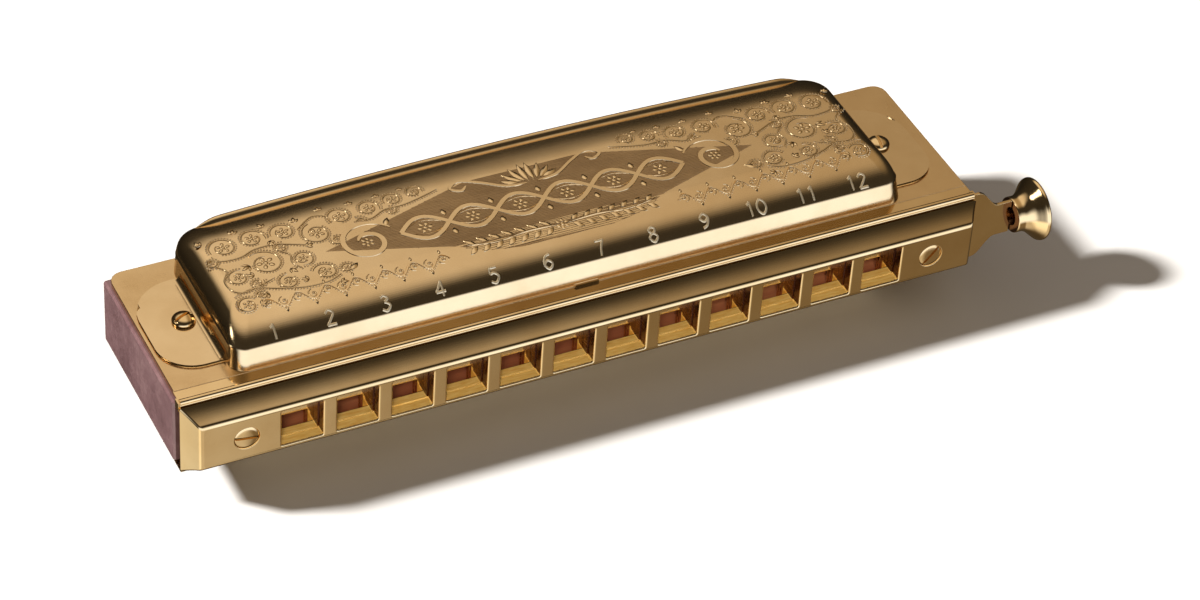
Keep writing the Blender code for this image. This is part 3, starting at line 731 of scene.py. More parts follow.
def cover_shell(name, side, look):
    """The stamped sheet: deep front curve, creased rounded ends, open back with a rolled lip, screw tabs."""
    opening = 5.3 / CROWN
    levels = {z / CROWN for _, z in FRONT_SECTION + BACK_SECTION}
    levels |= {0.08 * k for k in range(6)} | {0.455, 0.475, 0.487, 0.5, 0.513, 0.525, 0.545, opening}
    levels = sorted(levels)
    levels = [f for k, f in enumerate(levels) if k == 0 or f - levels[k - 1] > 0.0006 or f in (1.0, opening)]
    span = range(27, 27 + BOW_STEPS)  # the ring's places along the back edge
    bm = bmesh.new()
    rings = [[bm.verts.new((x, y, MID + side * (FOOT + f * CROWN))) for x, y in cover_ring(f)] for f in levels]
    count = len(rings[0])
    for f, low, high in zip(levels, rings, rings[1:]):
        for i in range(count):
            j = (i + 1) % count
            if f < opening - 0.001 and i in span:
                continue
            bm.faces.new((low[i], low[j], high[j], high[i]))
    bm.faces.new(rings[-1])
    for vert in bm.verts:
        share = bow_at(vert.co.x - COVER_X) * min(max((vert.co.y - 9.5) / 5.5, 0.0), 1.0) ** 2
        vert.co.z += side * LIFT * share * min(max((abs(vert.co.z - MID) - FOOT - 3.2) / 2, 0.0), 1.0)
    face_out(bm)
    if max(bm.faces, key=lambda face: len(face.verts)).normal.z * side < 0:
        bmesh.ops.reverse_faces(bm, faces=bm.faces)
    shell = link("shell", mesh_of(bm, "shell"))
    thick = shell.modifiers.new("sheet", "SOLIDIFY")
    thick.thickness = SHEET
    thick.offset = -1.0
    bm = baked(shell)

    # the rolled lip along the top of the open back
    length = 55.4
    stations = [length * math.sin(math.pi * (t / 60 - 0.5)) for t in range(61)]
    swell = [math.sin(0.5 * math.pi * min(1.0, 0.12 + (length - abs(x)) / 5.0)) for x in stations]
    route = [
        (COVER_X + x, 14.55 + 0.35 * size + 1.1 * bow_at(x), MID + side * (FOOT + 5.2 + 0.62 * size + LIFT * bow_at(x)))
        for x, size in zip(stations, swell)
    ]
    lip = smooth_path(LIP_SECTION, 4, closed=True)
    rings = [
        [bm.verts.new((x, y + size * a, z + side * size * b)) for a, b in lip]
        for (x, y, z), size in zip(route, swell)
    ]
    for low, high in zip(rings, rings[1:]):
        join(bm, low, high)
    bm.faces.new(rings[0])
    bm.faces.new(rings[-1])

    foot, top = sorted((MID + side * FOOT, MID + side * (FOOT + SHEET)))
    for end in (-1, 1):
        near, far, low, high = COVER_HALF - 0.3, 69.5, -11.5, 9.3
        outline = [(near, low)]
        outline += arc((far - 6.0, low + 6.0), 6.0, -90, 0, 12)
        outline += arc((far - 7.8, high - 7.8), 7.8, 0, 90, 14)
        outline += [(near, high)]
        tab, bore = bmesh.new(), bmesh.new()
        prism(tab, [(COVER_X + end * x, y) for x, y in outline], foot, top, on_xy)
        prism(bore, circle((COVER_X + end * SCREW_REACH, SCREW_Y), 1.05, 32), foot - 1, top + 1, on_xy)
        tab = round_edges(cut(tab, bore), 0.27, 4, 50, lambda p: abs(p.z - MID) > FOOT + SHEET - 0.01)
        fillet = [(COVER_HALF - 0.35, SHEET * 0.5), (COVER_HALF - 0.2, 1.25)]
        fillet += [(COVER_HALF + 1.02 + 1.1 * math.cos(a), SHEET + 1.1 + 1.1 * math.sin(a) - 0.02)
                   for a in (math.radians(d) for d in range(180, 271, 9))]
        fillet += [(COVER_HALF + 1.02, SHEET * 0.5)]
        prism(tab, [(COVER_X + end * x, MID + side * (FOOT + z)) for x, z in fillet], low + 0.15, high - 0.15, on_xz)
        merge(bm, tab)

    # a small lug pressed over the reed plate's front edge
    lug = bmesh.new()
    box(lug, (-1.9, -15.78, MID + side * 6.95), (2.3, -15.42, MID + side * 7.75))
    merge(bm, round_edges(lug, 0.14, 3))
    add_piece(name + "_shell", bm, look, (name,), smooth=38)


# strokes through these points, across and up, make each figure
DIGITS = {
    "0": ([(0.3, 1.0), (0.04, 0.72), (0.02, 0.3), (0.3, 0.0), (0.58, 0.28), (0.56, 0.7)],),
    "1": ([(0.12, 0.8), (0.24, 0.9), (0.33, 1.0)], [(0.33, 1.0), (0.33, 0.5), (0.33, 0.0)]),
    "2": ([(0.04, 0.78), (0.28, 1.0), (0.55, 0.76), (0.34, 0.4), (0.02, 0.02)],
          [(0.02, 0.02), (0.3, 0.03), (0.6, 0.02)]),
    "3": ([(0.06, 0.88), (0.3, 1.0), (0.52, 0.78), (0.26, 0.56)],
          [(0.26, 0.56), (0.58, 0.3), (0.3, 0.0), (0.02, 0.14)]),
    "4": ([(0.44, 0.0), (0.44, 0.5), (0.44, 1.0)], [(0.44, 1.0), (0.2, 0.6), (0.0, 0.3)],
          [(0.0, 0.3), (0.3, 0.3), (0.62, 0.3)]),
    "5": ([(0.54, 1.0), (0.32, 1.0), (0.1, 1.0)], [(0.1, 1.0), (0.08, 0.78), (0.06, 0.58)],
          [(0.06, 0.58), (0.34, 0.62), (0.58, 0.34), (0.32, 0.0), (0.02, 0.12)]),
    "6": ([(0.5, 0.94), (0.2, 0.8), (0.03, 0.34), (0.3, 0.0), (0.58, 0.28), (0.32, 0.55), (0.06, 0.36)],),
    "7": ([(0.02, 1.0), (0.3, 0.99), (0.58, 1.0)], [(0.58, 1.0), (0.36, 0.56), (0.22, 0.0)]),
    "8": ([(0.3, 0.55), (0.08, 0.78), (0.3, 1.0), (0.52, 0.78)], [(0.3, 0.55), (0.03, 0.28), (0.3, 0.0), (0.57, 0.28)]),
    "9": ([(0.1, 0.06), (0.4, 0.2), (0.57, 0.66), (0.3, 1.0), (0.02, 0.72), (0.28, 0.45), (0.54, 0.64)],),
}
CLOSED_DIGITS = {"0", "8"}


def hole_numbers(look):
    """Numbers 1 to 12 on the top cover's front curve, one above each hole."""
    relief = Relief(cover_chart(1))
    low, tall, wide, gap = -14.15, 2.05, 2.6, 2.05
    for index in range(HOLES):
        text = str(index + 1)
        left = hole_x(index) - COVER_X - 1.2 - (gap * (len(text) - 1) + 0.6 * wide) / 2
        for place, figure in enumerate(text):
            for points in DIGITS[figure]:
                closed = figure in CLOSED_DIGITS
                path = smooth_path(points, 5, closed)
                if closed:
                    path.append(path[0])
                path = [(left + gap * place + x * wide, low + y * tall) for x, y in path]
                relief.stroke(path, 0.44, 0.15, taper=False)
    add_piece("top_cover_numbers", relief.bm, look, smooth=60)


def volute(fine, a, b, radius, start, turn):
    """A scroll: a fine line with beads outside it, and a rosette at its eye."""
    path = spiral(a, b, radius, radius * 0.5, 1.15, start, turn)
    fine.stroke(path, 0.36)
    outside = spiral(a, b, radius + 0.38, radius * 0.5 + 0.38, 1.15, start, turn)
    fine.beads(outside[: int(len(outside) * 0.8)], 0.5, 0.19)
    fine.rosette(a, b, radius * 0.52, 5, start)


# one half of the scrollwork: centre, radius, first angle and sense of each scroll
SCROLLS = (
    (-53.6, 6.6, 2.5, 200, -1), (-48.5, 7.1, 2.3, -20, 1), (-43.2, 6.9, 2.2, 190, -1), (-38.2, 4.6, 2.7, 100, 1),
    (-33.1, 7.3, 2.2, 210, -1), (-28.0, 7.6, 2.0, -30, 1), (-23.4, 8.3, 1.7, 200, -1), (-19.4, 8.9, 1.5, -20, 1),
    (-54.0, -1.3, 1.9, 60, 1), (-48.6, 0.6, 3.1, 130, -1), (-42.6, -0.4, 1.9, 250, 1), (-46.8, -5.0, 1.8, 80, 1),
    (-40.4, -4.8, 2.1, 160, -1), (-55.0, -8.0, 1.8, 30, 1), (-51.6, -3.6, 1.2, 20, -1), (-44.9, 3.3, 1.1, 60, 1),
    (-56.6, 3.6, 1.0, 200, 1), (-36.9, -5.2, 1.1, 10, 1), (-30.4, 4.9, 1.0, 120, -1), (-52.2, -6.4, 1.0, 250, 1),
    (-24.6, 5.6, 0.9, 100, -1), (-35.6, 1.9, 1.2, 150, 1),
)
STEMS = (
    [(-56.2, 5.0), (-55.4, 3.6), (-52.0, 3.3), (-49.0, 4.4), (-45.5, 4.4), (-42.0, 3.0), (-40.4, 2.2)],
    [(-56.6, 2.6), (-55.2, 0.9), (-56.4, -1.4), (-56.0, -4.0), (-54.2, -5.0), (-50.6, -4.0), (-48.6, -3.4)],
    [(-56.4, -5.6), (-52.6, -4.6), (-49.0, -6.0), (-45.0, -7.2), (-41.0, -7.3), (-38.4, -6.3)],
    [(-40.8, 6.6), (-37.6, 8.8), (-35.4, 8.2), (-34.8, 6.6)],
    [(-30.8, 6.0), (-28.6, 4.9), (-25.6, 6.2), (-22.0, 6.3), (-18.2, 7.2), (-15.6, 8.0)],
    [(-45.4, 2.4), (-44.2, 1.2), (-44.6, -0.8), (-43.6, -2.6)],
)
# stalk, length and direction of the middle leaf of each spray of three
LEAVES = (
    (-51.0, 9.2, 1.7, 70), (-45.8, 9.0, 1.7, 110), (-40.6, 8.4, 1.6, 80), (-35.6, 9.8, 1.5, 100),
    (-30.6, 9.4, 1.4, 80), (-25.6, 9.6, 1.3, 95), (-21.4, 10.0, 1.1, 85), (-51.2, 1.0, 2.0, 210),
    (-51.4, -1.8, 1.6, 150), (-45.4, -2.0, 1.7, -60), (-50.8, -6.6, 1.7, 200), (-43.6, -5.8, 1.6, 150),
    (-41.0, 2.0, 1.5, 20), (-53.0, -8.6, 1.6, 20), (-56.8, 8.4, 1.4, 120), (-46.0, 5.6, 1.4, -80),
    (-39.2, -8.0, 1.5, -10),
)


def lozenge(y):
    """Half the hatched lozenge's length at this y."""
    widest, waist, top, foot = 38.6, -0.25, 10.8, 17.4
    if y > waist:
        return widest + (top - widest) * min((y - waist) / 8.4, 1.0)
    if y > -7.0:
        return widest + (foot - widest) * (-(y - waist) / 6.75)
    return foot * math.sqrt(max(0.0, 1 - ((-7.0 - y) / 3.4) ** 2))


def ornament(side, look, matt):
    """Scrollwork, a hatched lozenge with bold interlaced ribbons, a crest and leaf sprays: all generic."""
    fine, bold = Relief(None), Relief(None)
    for mirror in (1, -1):
        fine.chart = bold.chart = cover_chart(side, mirror)
        for a, b, radius, start, turn in SCROLLS:
            volute(fine, a, b, radius, start, turn)
        for points in STEMS:
            path = smooth_path(points, 8)
            fine.stroke(path, 0.34)
            fine.beads([(a, b - 0.4) for a, b in path], 0.5, 0.18)
        for a, b, length, degrees in LEAVES:
            fine.leaf(a, b, length, 0.8, degrees)
            fine.leaf(a, b, length * 0.8, 0.6, degrees - 42)
            fine.leaf(a, b, length * 0.8, 0.6, degrees + 42)
        # a vine along the bottom, curling into each of its waves
        row = -8.75
        vine = [(-53.0 + 0.25 * k, row + 1.05 * math.sin(math.pi * k / 10)) for k in range(131)]
        bold.stroke(vine, 0.46, RELIEF, flat=True)
        fine.beads([(a, b - 0.5) for a, b in vine], 0.5, 0.15)
        for k in range(13):
            a, lift = -51.75 + 2.5 * k, 1 if k % 2 else -1
            fine.stroke(spiral(a, row - 0.15 * lift, 0.95, 0.25, 1.1, 90 * lift, lift, 18), 0.3)
            fine.dome(a, row - 0.15 * lift, 0.26, RELIEF)
            fine.leaf(a, row + 1.25 * -lift, 1.0, 0.55, -90 * lift)
        # the big volute at each end of the lozenge
        bold.stroke(spiral(-31.4, -0.5, 5.3, 1.5, 1.35, 25, 1, 40), 1.05, RELIEF, flat=True)
        bold.rosette(-31.4, -0.5, 1.25, 6)
        bold.leaf(-34.8, -4.6, 2.4, 1.3, 215)
        bold.leaf(-27.2, 2.2, 2.4, 1.2, 60)
        # crest and lower spray
        for k, degrees in enumerate((92, 112, 134, 158)):
            bold.leaf(-0.5 - 0.5 * k, 4.4 + 0.1 * k, 5.2 - 0.55 * k, 1.3, degrees)
        streamer = ((-1.0, 4.1), (-4.6, 4.6), (-8.2, 6.9), (-11.6, 8.5), (-13.6, 7.2), (-12.0, 6.1), (-10.8, 7.0))
        bold.stroke(smooth_path(streamer, 8), 0.7, RELIEF, flat=True)
        stem = smooth_path([(0.0, -7.7), (-6.0, -7.3), (-12.0, -7.9), (-17.4, -7.0)], 8)
        bold.stroke(stem, 0.34, RELIEF)
        for k in range(7):
            a = -1.6 - 2.25 * k
            bold.leaf(a, -7.4, 2.5, 1.05, 142)
            bold.leaf(a, -7.8, 2.5, 1.05, 218)
    chart = bold.chart = cover_chart(side)
    hatch = Relief(chart)
    # interlaced ribbons across the middle at two heights, with rosettes in their eyes
    row, half, wave = -0.45, 25.5, 17.0
    for phase, lift in ((0.0, 1.0), (math.pi, 1.16)):
        path = []
        for k in range(161):
            a = -half + 51.0 * k / 160
            path.append((a, row + 2.75 * math.sin(2 * math.pi * (a + half) / wave + phase)))
        bold.stroke(path, 0.95, RELIEF * 0.85 * lift, flat=True, taper=False)
        bold.stroke([(a, b * 0.62 - 0.17) for a, b in path], 0.28, RELIEF * 0.8 * lift)
    for k in range(6):
        bold.rosette(-21.25 + 8.5 * k, row, 1.45, 6, 0.0)
    for k in range(5):
        for lift in (-1, 1):
            a = -17.0 + 8.5 * k
            bold.leaf(a, row + lift * 1.6, 1.9, 1.2, lift * 90)
    bold.rosette(0.0, -7.6, 1.3, 6)

    levels = [8.15 - 0.6 * k for k in range(14)] + [-0.25] + [-0.85 - 0.6 * k for k in range(10)]
    ground = [(lozenge(y), y) for y in levels + [-7.4, -8.2, -9.0, -9.6, -10.0]]
    outline = ground + [(-a, b) for a, b in reversed(ground)]
    low = [hatch.bm.verts.new(chart(a, b, -0.06)) for a, b in outline]
    high = [hatch.bm.verts.new(chart(a, b, 0.012)) for a, b in outline]
    hatch.bm.faces.new(high)
    hatch.bm.faces.new(list(reversed(low)))
    join(hatch.bm, low, high)
    pick = random.Random(12)
    y = 8.0
    while y > -10.1:
        half = lozenge(y)
        cuts = sorted(pick.uniform(-half, half) for _ in range(3))
        ends = [-half - pick.uniform(-0.3, 0.5)] + cuts + [half + pick.uniform(-0.3, 0.5)]
        for start, end in zip(ends, ends[1:]):
            if end - start > 1.0:
                tilt = pick.uniform(-0.05, 0.05)
                hatch.stroke([(start + 0.1, y - tilt), ((start + end) / 2, y), (end - 0.1, y + tilt)], 0.18, 0.06)
        y -= 0.36 + pick.uniform(-0.04, 0.04)
    name = "top_cover" if side > 0 else "bottom_cover"
    add_piece(name + "_scrollwork", fine.bm, look, smooth=60)
    add_piece(name + "_ribbons", bold.bm, look, smooth=35)
    add_piece(name + "_hatching", hatch.bm, matt, smooth=35)


# ---------------------------------------------------------------- mouthpiece
def rounded_outline(half_a, half_b, corner, steps=5):
    outline = []
    for sign_a, sign_b, start in ((1, 1, 0), (-1, 1, 90), (-1, -1, 180), (1, -1, 270)):
        outline += arc((sign_a * (half_a - corner), sign_b * (half_b - corner)), corner, start, start + 90, steps)
    return outline


def mouthpiece(look, inner):
    """The bar: slopes above and below, rounded folds, square wells with narrower square holes behind them."""
    profile = [(MOUTH_BACK, 0.12), (MOUTH_BACK - 0.12, 0.0)]
    y, inset, edge = MOUTH_BACK - 0.2, 0.0, 1.0
    profile.append((y, inset))
    reach = math.radians(29)
    depth = (y - MOUTH_FRONT - edge * (1 - math.sin(reach))) / 12
    for k in range(12):
        y -= depth
        inset += depth * math.tan(math.radians(37 - 8 * k / 11))
        profile.append((y, inset))
    for k in range(1, 11):
        tilt = reach + (math.pi / 2 - reach) * k / 10
        ahead, inward = math.sin(tilt) - math.sin(reach), math.cos(reach) - math.cos(tilt)
        profile.append((y - edge * ahead, inset + edge * inward))
    bm = bmesh.new()
    rings = []
    for y, inset in profile:
        outline = rounded_outline(BAR_HALF - inset, BAR_TALL - inset, 0.4)
        rings.append([bm.verts.new((x, y, MID + z)) for x, z in outline])
    for low, high in zip(rings, rings[1:]):
        join(bm, low, high)
    bm.faces.new(rings[0])
    bm.faces.new(rings[-1])
    face_out(bm)
    front, rear, bores = bmesh.new(), bmesh.new(), bmesh.new()
    for index in range(HOLES):
        x = hole_x(index)
        outline = [(x + a, MID + b) for a, b in rounded_outline(3.55, 3.6, 0.25, 3)]
        prism(front, outline, MOUTH_FRONT - 1, MOUTH_FRONT + WELL, on_xz)
        outline = [(x + a, MID + b) for a, b in rounded_outline(3.35, 3.4, 0.2, 3)]
        prism(rear, outline, MOUTH_FRONT - 0.5, MOUTH_BACK + 1, on_xz)
    for x in (-MOUTH_SCREW, MOUTH_SCREW):
        steps = ((MOUTH_FRONT - 1, 2.15), (MOUTH_FRONT + 1.0, 2.15), (MOUTH_FRONT + 1.0, 1.0), (MOUTH_BACK + 1, 1.0))
        turned(bores, steps, lambda along, a, b, x=x: (x + a, along, MID + b), 40)
    bm = cut(bm, front, rear, bores)
    row = 57  # the holes are nearer the middle than this, and the screws further out
    round_edges(bm, 0.3, 4, 60, lambda p: abs(p.y - MOUTH_FRONT) < 0.01 and abs(p.z - MID) < 3.8 and abs(p.x) < row)
    round_edges(bm, 0.12, 2, 60, lambda p: abs(p.y - MOUTH_FRONT) < 0.01 and abs(p.x) > row + 1)
    round_edges(bm, 0.07, 2, 60, lambda p: abs(p.y - MOUTH_FRONT - WELL) < 0.01 and abs(p.x) < row)
    bm.normal_update()
    # painted shade: the holes' walls and roofs get the dark gold of the first extra look; painted light: their floors
    # get the bright yellow gold of the second
    for face in bm.faces:
        middle = face.calc_center_median()
        if middle.y > MOUTH_FRONT + 0.4 and abs(middle.x) < row and abs(middle.z - MID) < 3.75:
            face.material_index = 2 if middle.z < MID - 3.3 else 1
    add_piece("mouthpiece_bar", bm, look, ("mouthpiece",), smooth=32, inner=inner)


def mouth_screw(name, x, degrees, look):
    head = MOUTH_FRONT + 0.95
    profile = (
        (MOUTH_FRONT, 0.0), (MOUTH_FRONT + 0.02, 0.9), (MOUTH_FRONT + 0.06, 1.6), (MOUTH_FRONT + 0.13, 1.93),
        (MOUTH_FRONT + 0.26, 2.09), (head, 2.1), (head, 0.9), (COMB_FRONT + 5.2, 0.9), (COMB_FRONT + 6.0, 0.0),
    )
    bm = bmesh.new()
    turned(bm, profile, lambda along, a, b: (x + a, along, MID + b), 40)
    low, high = (-3.0, MOUTH_FRONT - 1, -0.26), (3.0, MOUTH_FRONT + 0.5, 0.26)
    bm = slotted(bm, low, high, (x, 0.0, MID), degrees, "Y")
    add_piece(name + "_turned", bm, look, (name,), smooth=38)


# ---------------------------------------------------------------- slide assembly
def channel(look):
    """The folded sheet that the slide runs in, with its windows, rolled bead and end ears."""
    half, fold = 7.3, 0.5
    outer = arc((CHANNEL_FRONT + fold, half - fold), fold, 180, 90, 10)
    inner = [(-15.45, half), (-15.45, half - 0.4)]
    inner += arc((CHANNEL_FRONT + 0.95, half - 0.75), 0.35, 90, 180, 5)
    upper = outer + inner
    outline = [(y, MID + z) for y, z in upper + [(y, -z) for y, z in reversed(upper)]]
    bm = bmesh.new()
    prism(bm, outline, -CHANNEL_HALF, CHANNEL_HALF, on_yz)
    windows = bmesh.new()
    for index in range(HOLES):
        for side in (-1, 1):
            low, high = sorted((MID + side * 0.6, MID + side * 5.4))
            x = hole_x(index)
            box(windows, (x - 2.3, CHANNEL_FRONT - 1, low), (x + 2.3, CHANNEL_FRONT + 0.65, high))
    for x in (-MOUTH_SCREW, MOUTH_SCREW):
        prism(windows, circle((x, MID), 1.0, 24), CHANNEL_FRONT - 1, CHANNEL_FRONT + 0.65, on_xz)
    face_out(bm)
    bm = cut(bm, windows)
    round_edges(bm, 0.1, 2, 60, lambda p: abs(abs(p.x) - CHANNEL_HALF) < 0.01)
    # the bead along the upper fold
    ends = (-CHANNEL_HALF + 0.1, CHANNEL_HALF - 0.1)
    tube(bm, [(x, -18.2, MID + 7.17) for x in ends], 0.55, 28)
    # the ears at its two ends, curling over the upper corners
    for end in (-1, 1):
        ear = bmesh.new()
        left, right = sorted((end * 71.0, end * 71.7))
        box(ear, (left, CHANNEL_FRONT + 0.05, MID + 5.9), (right, -17.3, MID + 7.4))
        merge(bm, round_edges(ear, 0.3, 3))
    add_piece("slide_channel_sheet", bm, look, ("slide_channel",), smooth=32)


def detailed_copy(name, suffix, look, body="body", width=0.07):
    """A CAD node's own shape with its edges broken."""
    bm = node_mesh(name)
    round_edges(bm, width, 2, 40)
    add_piece(name + suffix, bm, look, (name,), body, 35)


def button(look, inner):
    """The flared button: a deep bore round the slide's neck, then the outside, as distance along x and radius."""
    bore = [(83.0, 0.0), (83.0, 1.5), (82.8, 1.7), (79.95, 1.7), (79.8, 1.82)]
    outside = smooth_path([
        (79.8, 2.9), (79.86, 3.06), (80.1, 3.15), (81.2, 3.16), (81.9, 3.4), (82.7, 3.95), (83.4, 4.65), (83.95, 5.22),
        (84.25, 5.47), (84.6, 5.55), (84.86, 5.45), (85.02, 5.1), (85.12, 4.4), (85.2, 3.4), (85.24, 2.0),
    ], 5)
    bm = bmesh.new()
    profile = bore + outside + [(85.25, 0.0)]
    turned(bm, profile, lambda along, a, b: (along, SLIDE_Y + a, MID + b), 96)
    # painted shade: the collar's face and the bore round the neck get the dark gold
    for face in bm.faces:
        middle = face.calc_center_median()
        if middle.x < 79.83 or math.hypot(middle.y - SLIDE_Y, middle.z - MID) < 1.8 and middle.x < 83.1:
            face.material_index = 1
    add_piece("slide_button_turned", bm, look, ("slide_button",), "slide", 50, inner)


# ---------------------------------------------------------------- screws, nuts, pins
def cover_screw(name, x, degrees, look):
    seat = FOOT + SHEET + 0.05
    profile = [
        (-(seat + 1.55), 0.0), (-(seat + 1.55), 0.7), (-(seat + 1.35), 0.95), (seat, 0.95), (seat, 1.85),
        (seat + 0.05, 1.95),
    ]
    for k in range(13):
        angle = math.radians(4 + 86 * k / 12)
        profile.append((seat + 0.16 + 1.09 * math.sin(angle), 1.97 * math.cos(angle) if k < 12 else 0.0))
    bm = bmesh.new()
    turned(bm, profile, lambda along, a, b: (x + a, SCREW_Y + b, MID + along), 40)
    low, high = (-3.0, -0.26, MID + seat + 0.62), (3.0, 0.26, MID + seat + 2.0)
    bm = slotted(bm, low, high, (x, SCREW_Y, 0.0), degrees, "Z")
    round_edges(bm, 0.04, 2, 50, lambda p: p.z > MID + seat + 0.6)
    add_piece(name + "_turned", bm, look, (name,), smooth=35)


def cover_nut(name, x, look):
    seat = -(FOOT + SHEET + 0.05)
    nut, bore = bmesh.new(), bmesh.new()
    prism(nut, circle((x, SCREW_Y), 2.28, 6), MID + seat - 1.4, MID + seat, on_xy)
    prism(bore, circle((x, SCREW_Y), 1.0, 32), MID + seat - 3, MID + seat + 1, on_xy)
    face_out(nut)
    nut = round_edges(cut(nut, bore), 0.14, 2, 40)
    add_piece(name + "_cut", nut, look, (name,), smooth=35)


def plate_pin(name, x, y, side, look):
    head = FOOT
    profile = (
        (2.3, 0.0), (2.9, 0.5), (head, 0.5), (head, 1.0), (head + 0.12, 1.0), (head + 0.24, 0.88), (head + 0.34, 0.6),
        (head + 0.39, 0.0),
    )
    bm = bmesh.new()
    turned(bm, profile, lambda along, a, b: (x + a, y + b, MID + side * along), 24)
    add_piece(name + "_turned", bm, look, (name,), smooth=40)


# ---------------------------------------------------------------- reeds and valves
def reed_length(index):
    return 20.5 - 10.5 * index / (HOLES - 1)


def reed(name, x, foot, away, index, look, nodes=()):
    """A riveted brass reed: its pad, a tongue that thins towards the middle, and the rivet's head."""
    step = REED_PAD + 2.8
    tip = step + reed_length(index)
    profile = [(REED_PAD, 0.0), (tip, 0.02), (tip, 0.2)]
    for t in (0.9, 0.75, 0.6, 0.45, 0.3, 0.15):
        profile.append((step + (tip - step) * t, 0.2 - 0.07 * math.sin(math.pi * t)))
    profile += [(step + 0.8, 0.2), (step + 0.45, 0.34), (step + 0.1, 0.5), (step - 0.1, 0.55), (REED_PAD, 0.55)]
    bm = bmesh.new()
    prism(bm, [(y, MID + foot + away * z) for y, z in profile], x - 1.05, x + 1.05, on_yz)
    face_out(bm)
    round_edges(bm, 0.03, 1, 50)
    rivet = [(0.5, 0.0), (0.5, 0.72), (0.62, 0.72), (0.78, 0.6), (0.88, 0.38), (0.92, 0.0)]
    turned(bm, rivet, lambda along, a, b: (x + a, REED_PAD + 1.4 + b, MID + foot + away * along), 20)
    add_piece(name, bm, look, nodes, smooth=40)


def valve(name, x, side, index, look):
    """A two-ply wind saver over the blow reed's slot, held by a drop of glue at its front."""
    start = REED_PAD + 2.2
    end = REED_PAD + 3.2 + reed_length(index)
    base = 7.42  # just under the plate's outer face
    bm = bmesh.new()
    for lift, narrow, short in ((0.0, 0.0, 0.0), (0.14, 0.25, 1.2)):
        count = 10
        top, low = [], []
        for k in range(count + 1):
            t = k / count
            y = start + (end - short - start) * t
            z = base + lift + 0.22 * t * t
            top.append((y, MID + side * (z + 0.1)))
            low.append((y, MID + side * z))
        prism(bm, top + list(reversed(low)), x - 1.3 + narrow, x + 1.3 - narrow, on_yz)
    drop = [(0.0, 0.0), (0.0, 1.0), (0.2, 0.92), (0.36, 0.6), (0.42, 0.0)]
    turned(bm, drop, lambda along, a, b: (x + a, start + 0.3 + 0.8 * b, MID + side * (base + along)), 16)
    add_piece(name, bm, look, smooth=40)


def spring(look):
    """A hairpin of wire, from the comb to the slide's right-hand end."""
    bend_x, back, z = 61.7, COMB_FRONT + 11.0, MID + 3.9
    route = [(60.2, COMB_FRONT + 2.0), (60.2, COMB_FRONT + 5.0), (60.2, back - 1.0)]
    route += arc((bend_x, back), 1.5, 180, 0, 18)
    route += [(68.1, COMB_FRONT + 1.2), (68.5, COMB_FRONT + 0.5), (68.6, COMB_FRONT - 0.3), (68.6, SLIDE_Y - 0.2)]
    bm = bmesh.new()
    tube(bm, [(x, y, z) for x, y in route], 0.3, 16)
    add_piece("slide_spring_wire", bm, look, ("slide_spring",), smooth=50)


def floor():
    bm = bmesh.new()
    grid = bmesh.ops.create_grid(bm, x_segments=24, y_segments=24, size=3.0)
    for vert in grid["verts"]:
        vert.co.z = -0.0001
    look = plain("floor_paper", (0.62, 0.61, 0.595), (0.64, 0.63, 0.62), 0.9, 0.0, 40.0, height=0.00002)
    mesh = mesh_of(bm, "floor")
    mesh.materials.append(look)
    obj = link("floor", mesh)
    obj.visible_glossy = False


# ---------------------------------------------------------------- the studio, the looks and every piece
camera()
world_light()
sun("key", KEY, 9.0, 7.0, (1.0, 0.98, 0.95))
front = sun("front", (-0.35, -0.68, 0.64), 2.6, 16.0, (1.0, 0.78, 0.55))
sun("fill", (-0.1, -0.15, 1.0), 0.9, 150.0, (1.0, 0.84, 0.68))
floor()
bpy.context.scene.view_settings.view_transform = "Standard"

SATIN = gold("satin_gold_cover", (0.87, 0.655, 0.375), (0.80, 0.58, 0.31), 0.13, 0.07)
MATT = gold("satin_gold_hatched", (0.52, 0.355, 0.185), (0.42, 0.28, 0.145), 0.33, 0.12)
BRIGHT = gold("bright_gold_polish", (0.88, 0.65, 0.345), (0.80, 0.56, 0.27), 0.07, 0.08, 0.4, 0.25)
# painted shade: a dark red-brown gold that stands in for the shade inside the mouth holes, on their walls and roofs
PAINTED_SHADE_GOLD = gold("painted_shade_gold_bore", (0.15, 0.058, 0.032), (0.08, 0.03, 0.018), 0.2, 0.15, 0.6, 0.5)
# painted light: a brighter, yellower gold on the mouth holes' floors stands in for light falling on them; the rougher
# finish is the surface's own
PAINTED_LIGHT_FLOOR_GOLD = plain("painted_light_gold_floor", (0.85, 0.55, 0.14), (1.0, 0.78, 0.3), 0.4, 0.35, 500.0, (1, 6, 6))
# the numbers' frosted finish is their roughness; their paler, brighter colour is a painted highlight
NUMBERS_GOLD_PAINTED_HIGHLIGHT = gold("frosted_gold_numbers_painted_highlight", (1.0, 0.86, 0.60), (0.92, 0.74, 0.46), 0.5, 0.15)
# painted shade: a dark gold for the button's collar face and bore stands in for the shade in them
COLLAR_PAINTED_SHADE_GOLD = gold("painted_shade_gold_collar", (0.17, 0.085, 0.045), (0.10, 0.045, 0.025), 0.22, 0.15)
PLATE = gold("plate_gold_brushed", (0.86, 0.62, 0.33), (0.77, 0.53, 0.26), 0.2, 0.1, 0.6, 0.7)
WOOD = wood("stained_wood_lacquered")
BRASS = gold("reed_brass_milled", (0.80, 0.62, 0.32), (0.62, 0.44, 0.20), 0.24, 0.14)
STEEL = plain("spring_steel_drawn", (0.42, 0.41, 0.40), (0.58, 0.57, 0.55), 0.24, 1.0, 700.0, (1, 8, 8))
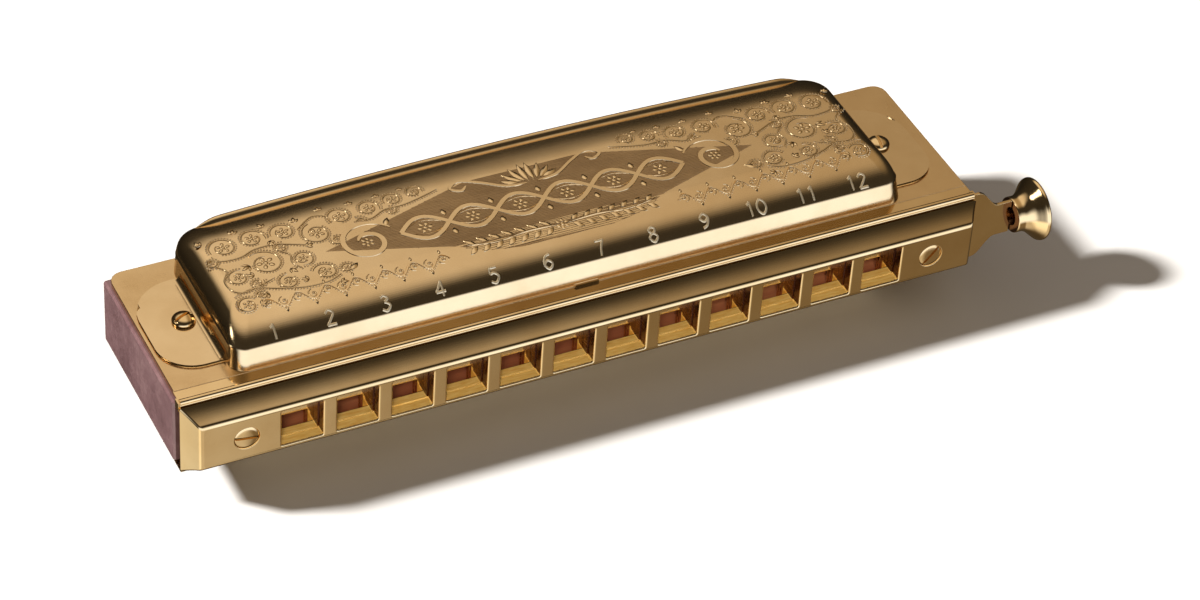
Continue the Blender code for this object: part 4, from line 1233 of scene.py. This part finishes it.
RUBBER = plain("sleeve_rubber_dark", (0.018, 0.018, 0.018), (0.04, 0.038, 0.036), 0.75, 0.0, 900.0)
FILM = plain("valve_film", (0.74, 0.71, 0.62), (0.83, 0.80, 0.72), 0.42, 0.0, 400.0)

for side, name in ((1, "top_cover"), (-1, "bottom_cover")):
    cover_shell(name, side, SATIN)
    ornament(side, SATIN, MATT)
hole_numbers(NUMBERS_GOLD_PAINTED_HIGHLIGHT)

mouthpiece(BRIGHT, (PAINTED_SHADE_GOLD, PAINTED_LIGHT_FLOOR_GOLD))
channel(BRIGHT)
detailed_copy("slide", "_strip", BRIGHT, "slide", 0.06)
button(BRIGHT, (COLLAR_PAINTED_SHADE_GOLD,))
for end, name, cover_slot, mouth_slot in ((-1, "left", 20, 8), (1, "right", 80, -48)):
    cover_screw("cover_screw_" + name, COVER_X + end * SCREW_REACH, cover_slot, BRIGHT)
    cover_nut("cover_nut_" + name, COVER_X + end * SCREW_REACH, BRIGHT)
    mouth_screw("mouthpiece_screw_" + name, end * MOUTH_SCREW, mouth_slot, BRIGHT)
for side, row in ((1, "top"), (-1, "bottom")):
    detailed_copy(row + "_reed_plate", "_milled", PLATE, width=0.09)
    number = 0
    for y in (-13.2, 12.9):
        for x in (-47.5, -19.0, 19.0, 47.5):
            number += 1
            plate_pin(f"{row}_plate_pin_{number}", x, y, side, PLATE)
    for index in range(HOLES):
        x = hole_x(index)
        tag = f"{index + 1:02d}"
        node = f"{row}_draw_reed_{tag}"
        reed(node + "_tongue", x + REED_SIDE, side * FOOT, side, index, BRASS, (node,))
        reed(f"{row}_blow_reed_{tag}", x - REED_SIDE, side * INNER_FACE, -side, index, BRASS)
        valve(f"{row}_valve_{tag}", x - REED_SIDE, side, index, FILM)
spring(STEEL)

CARRIED = {"comb": WOOD, "slide_back_plate": PLATE, "slide_bumper_left": RUBBER, "slide_bumper_right": RUBBER}
for name, look in CARRIED.items():
    for slot in NODES[name].material_slots:
        slot.material = look

# the front sun lights only the wood and the hole floors behind the mouthpiece's face
chambers = bpy.data.collections.new("chambers")
chambers.objects.link(NODES["comb"])
chambers.objects.link(bpy.data.objects["mouthpiece_bar"])
front.light_linking.receiver_collection = chambers
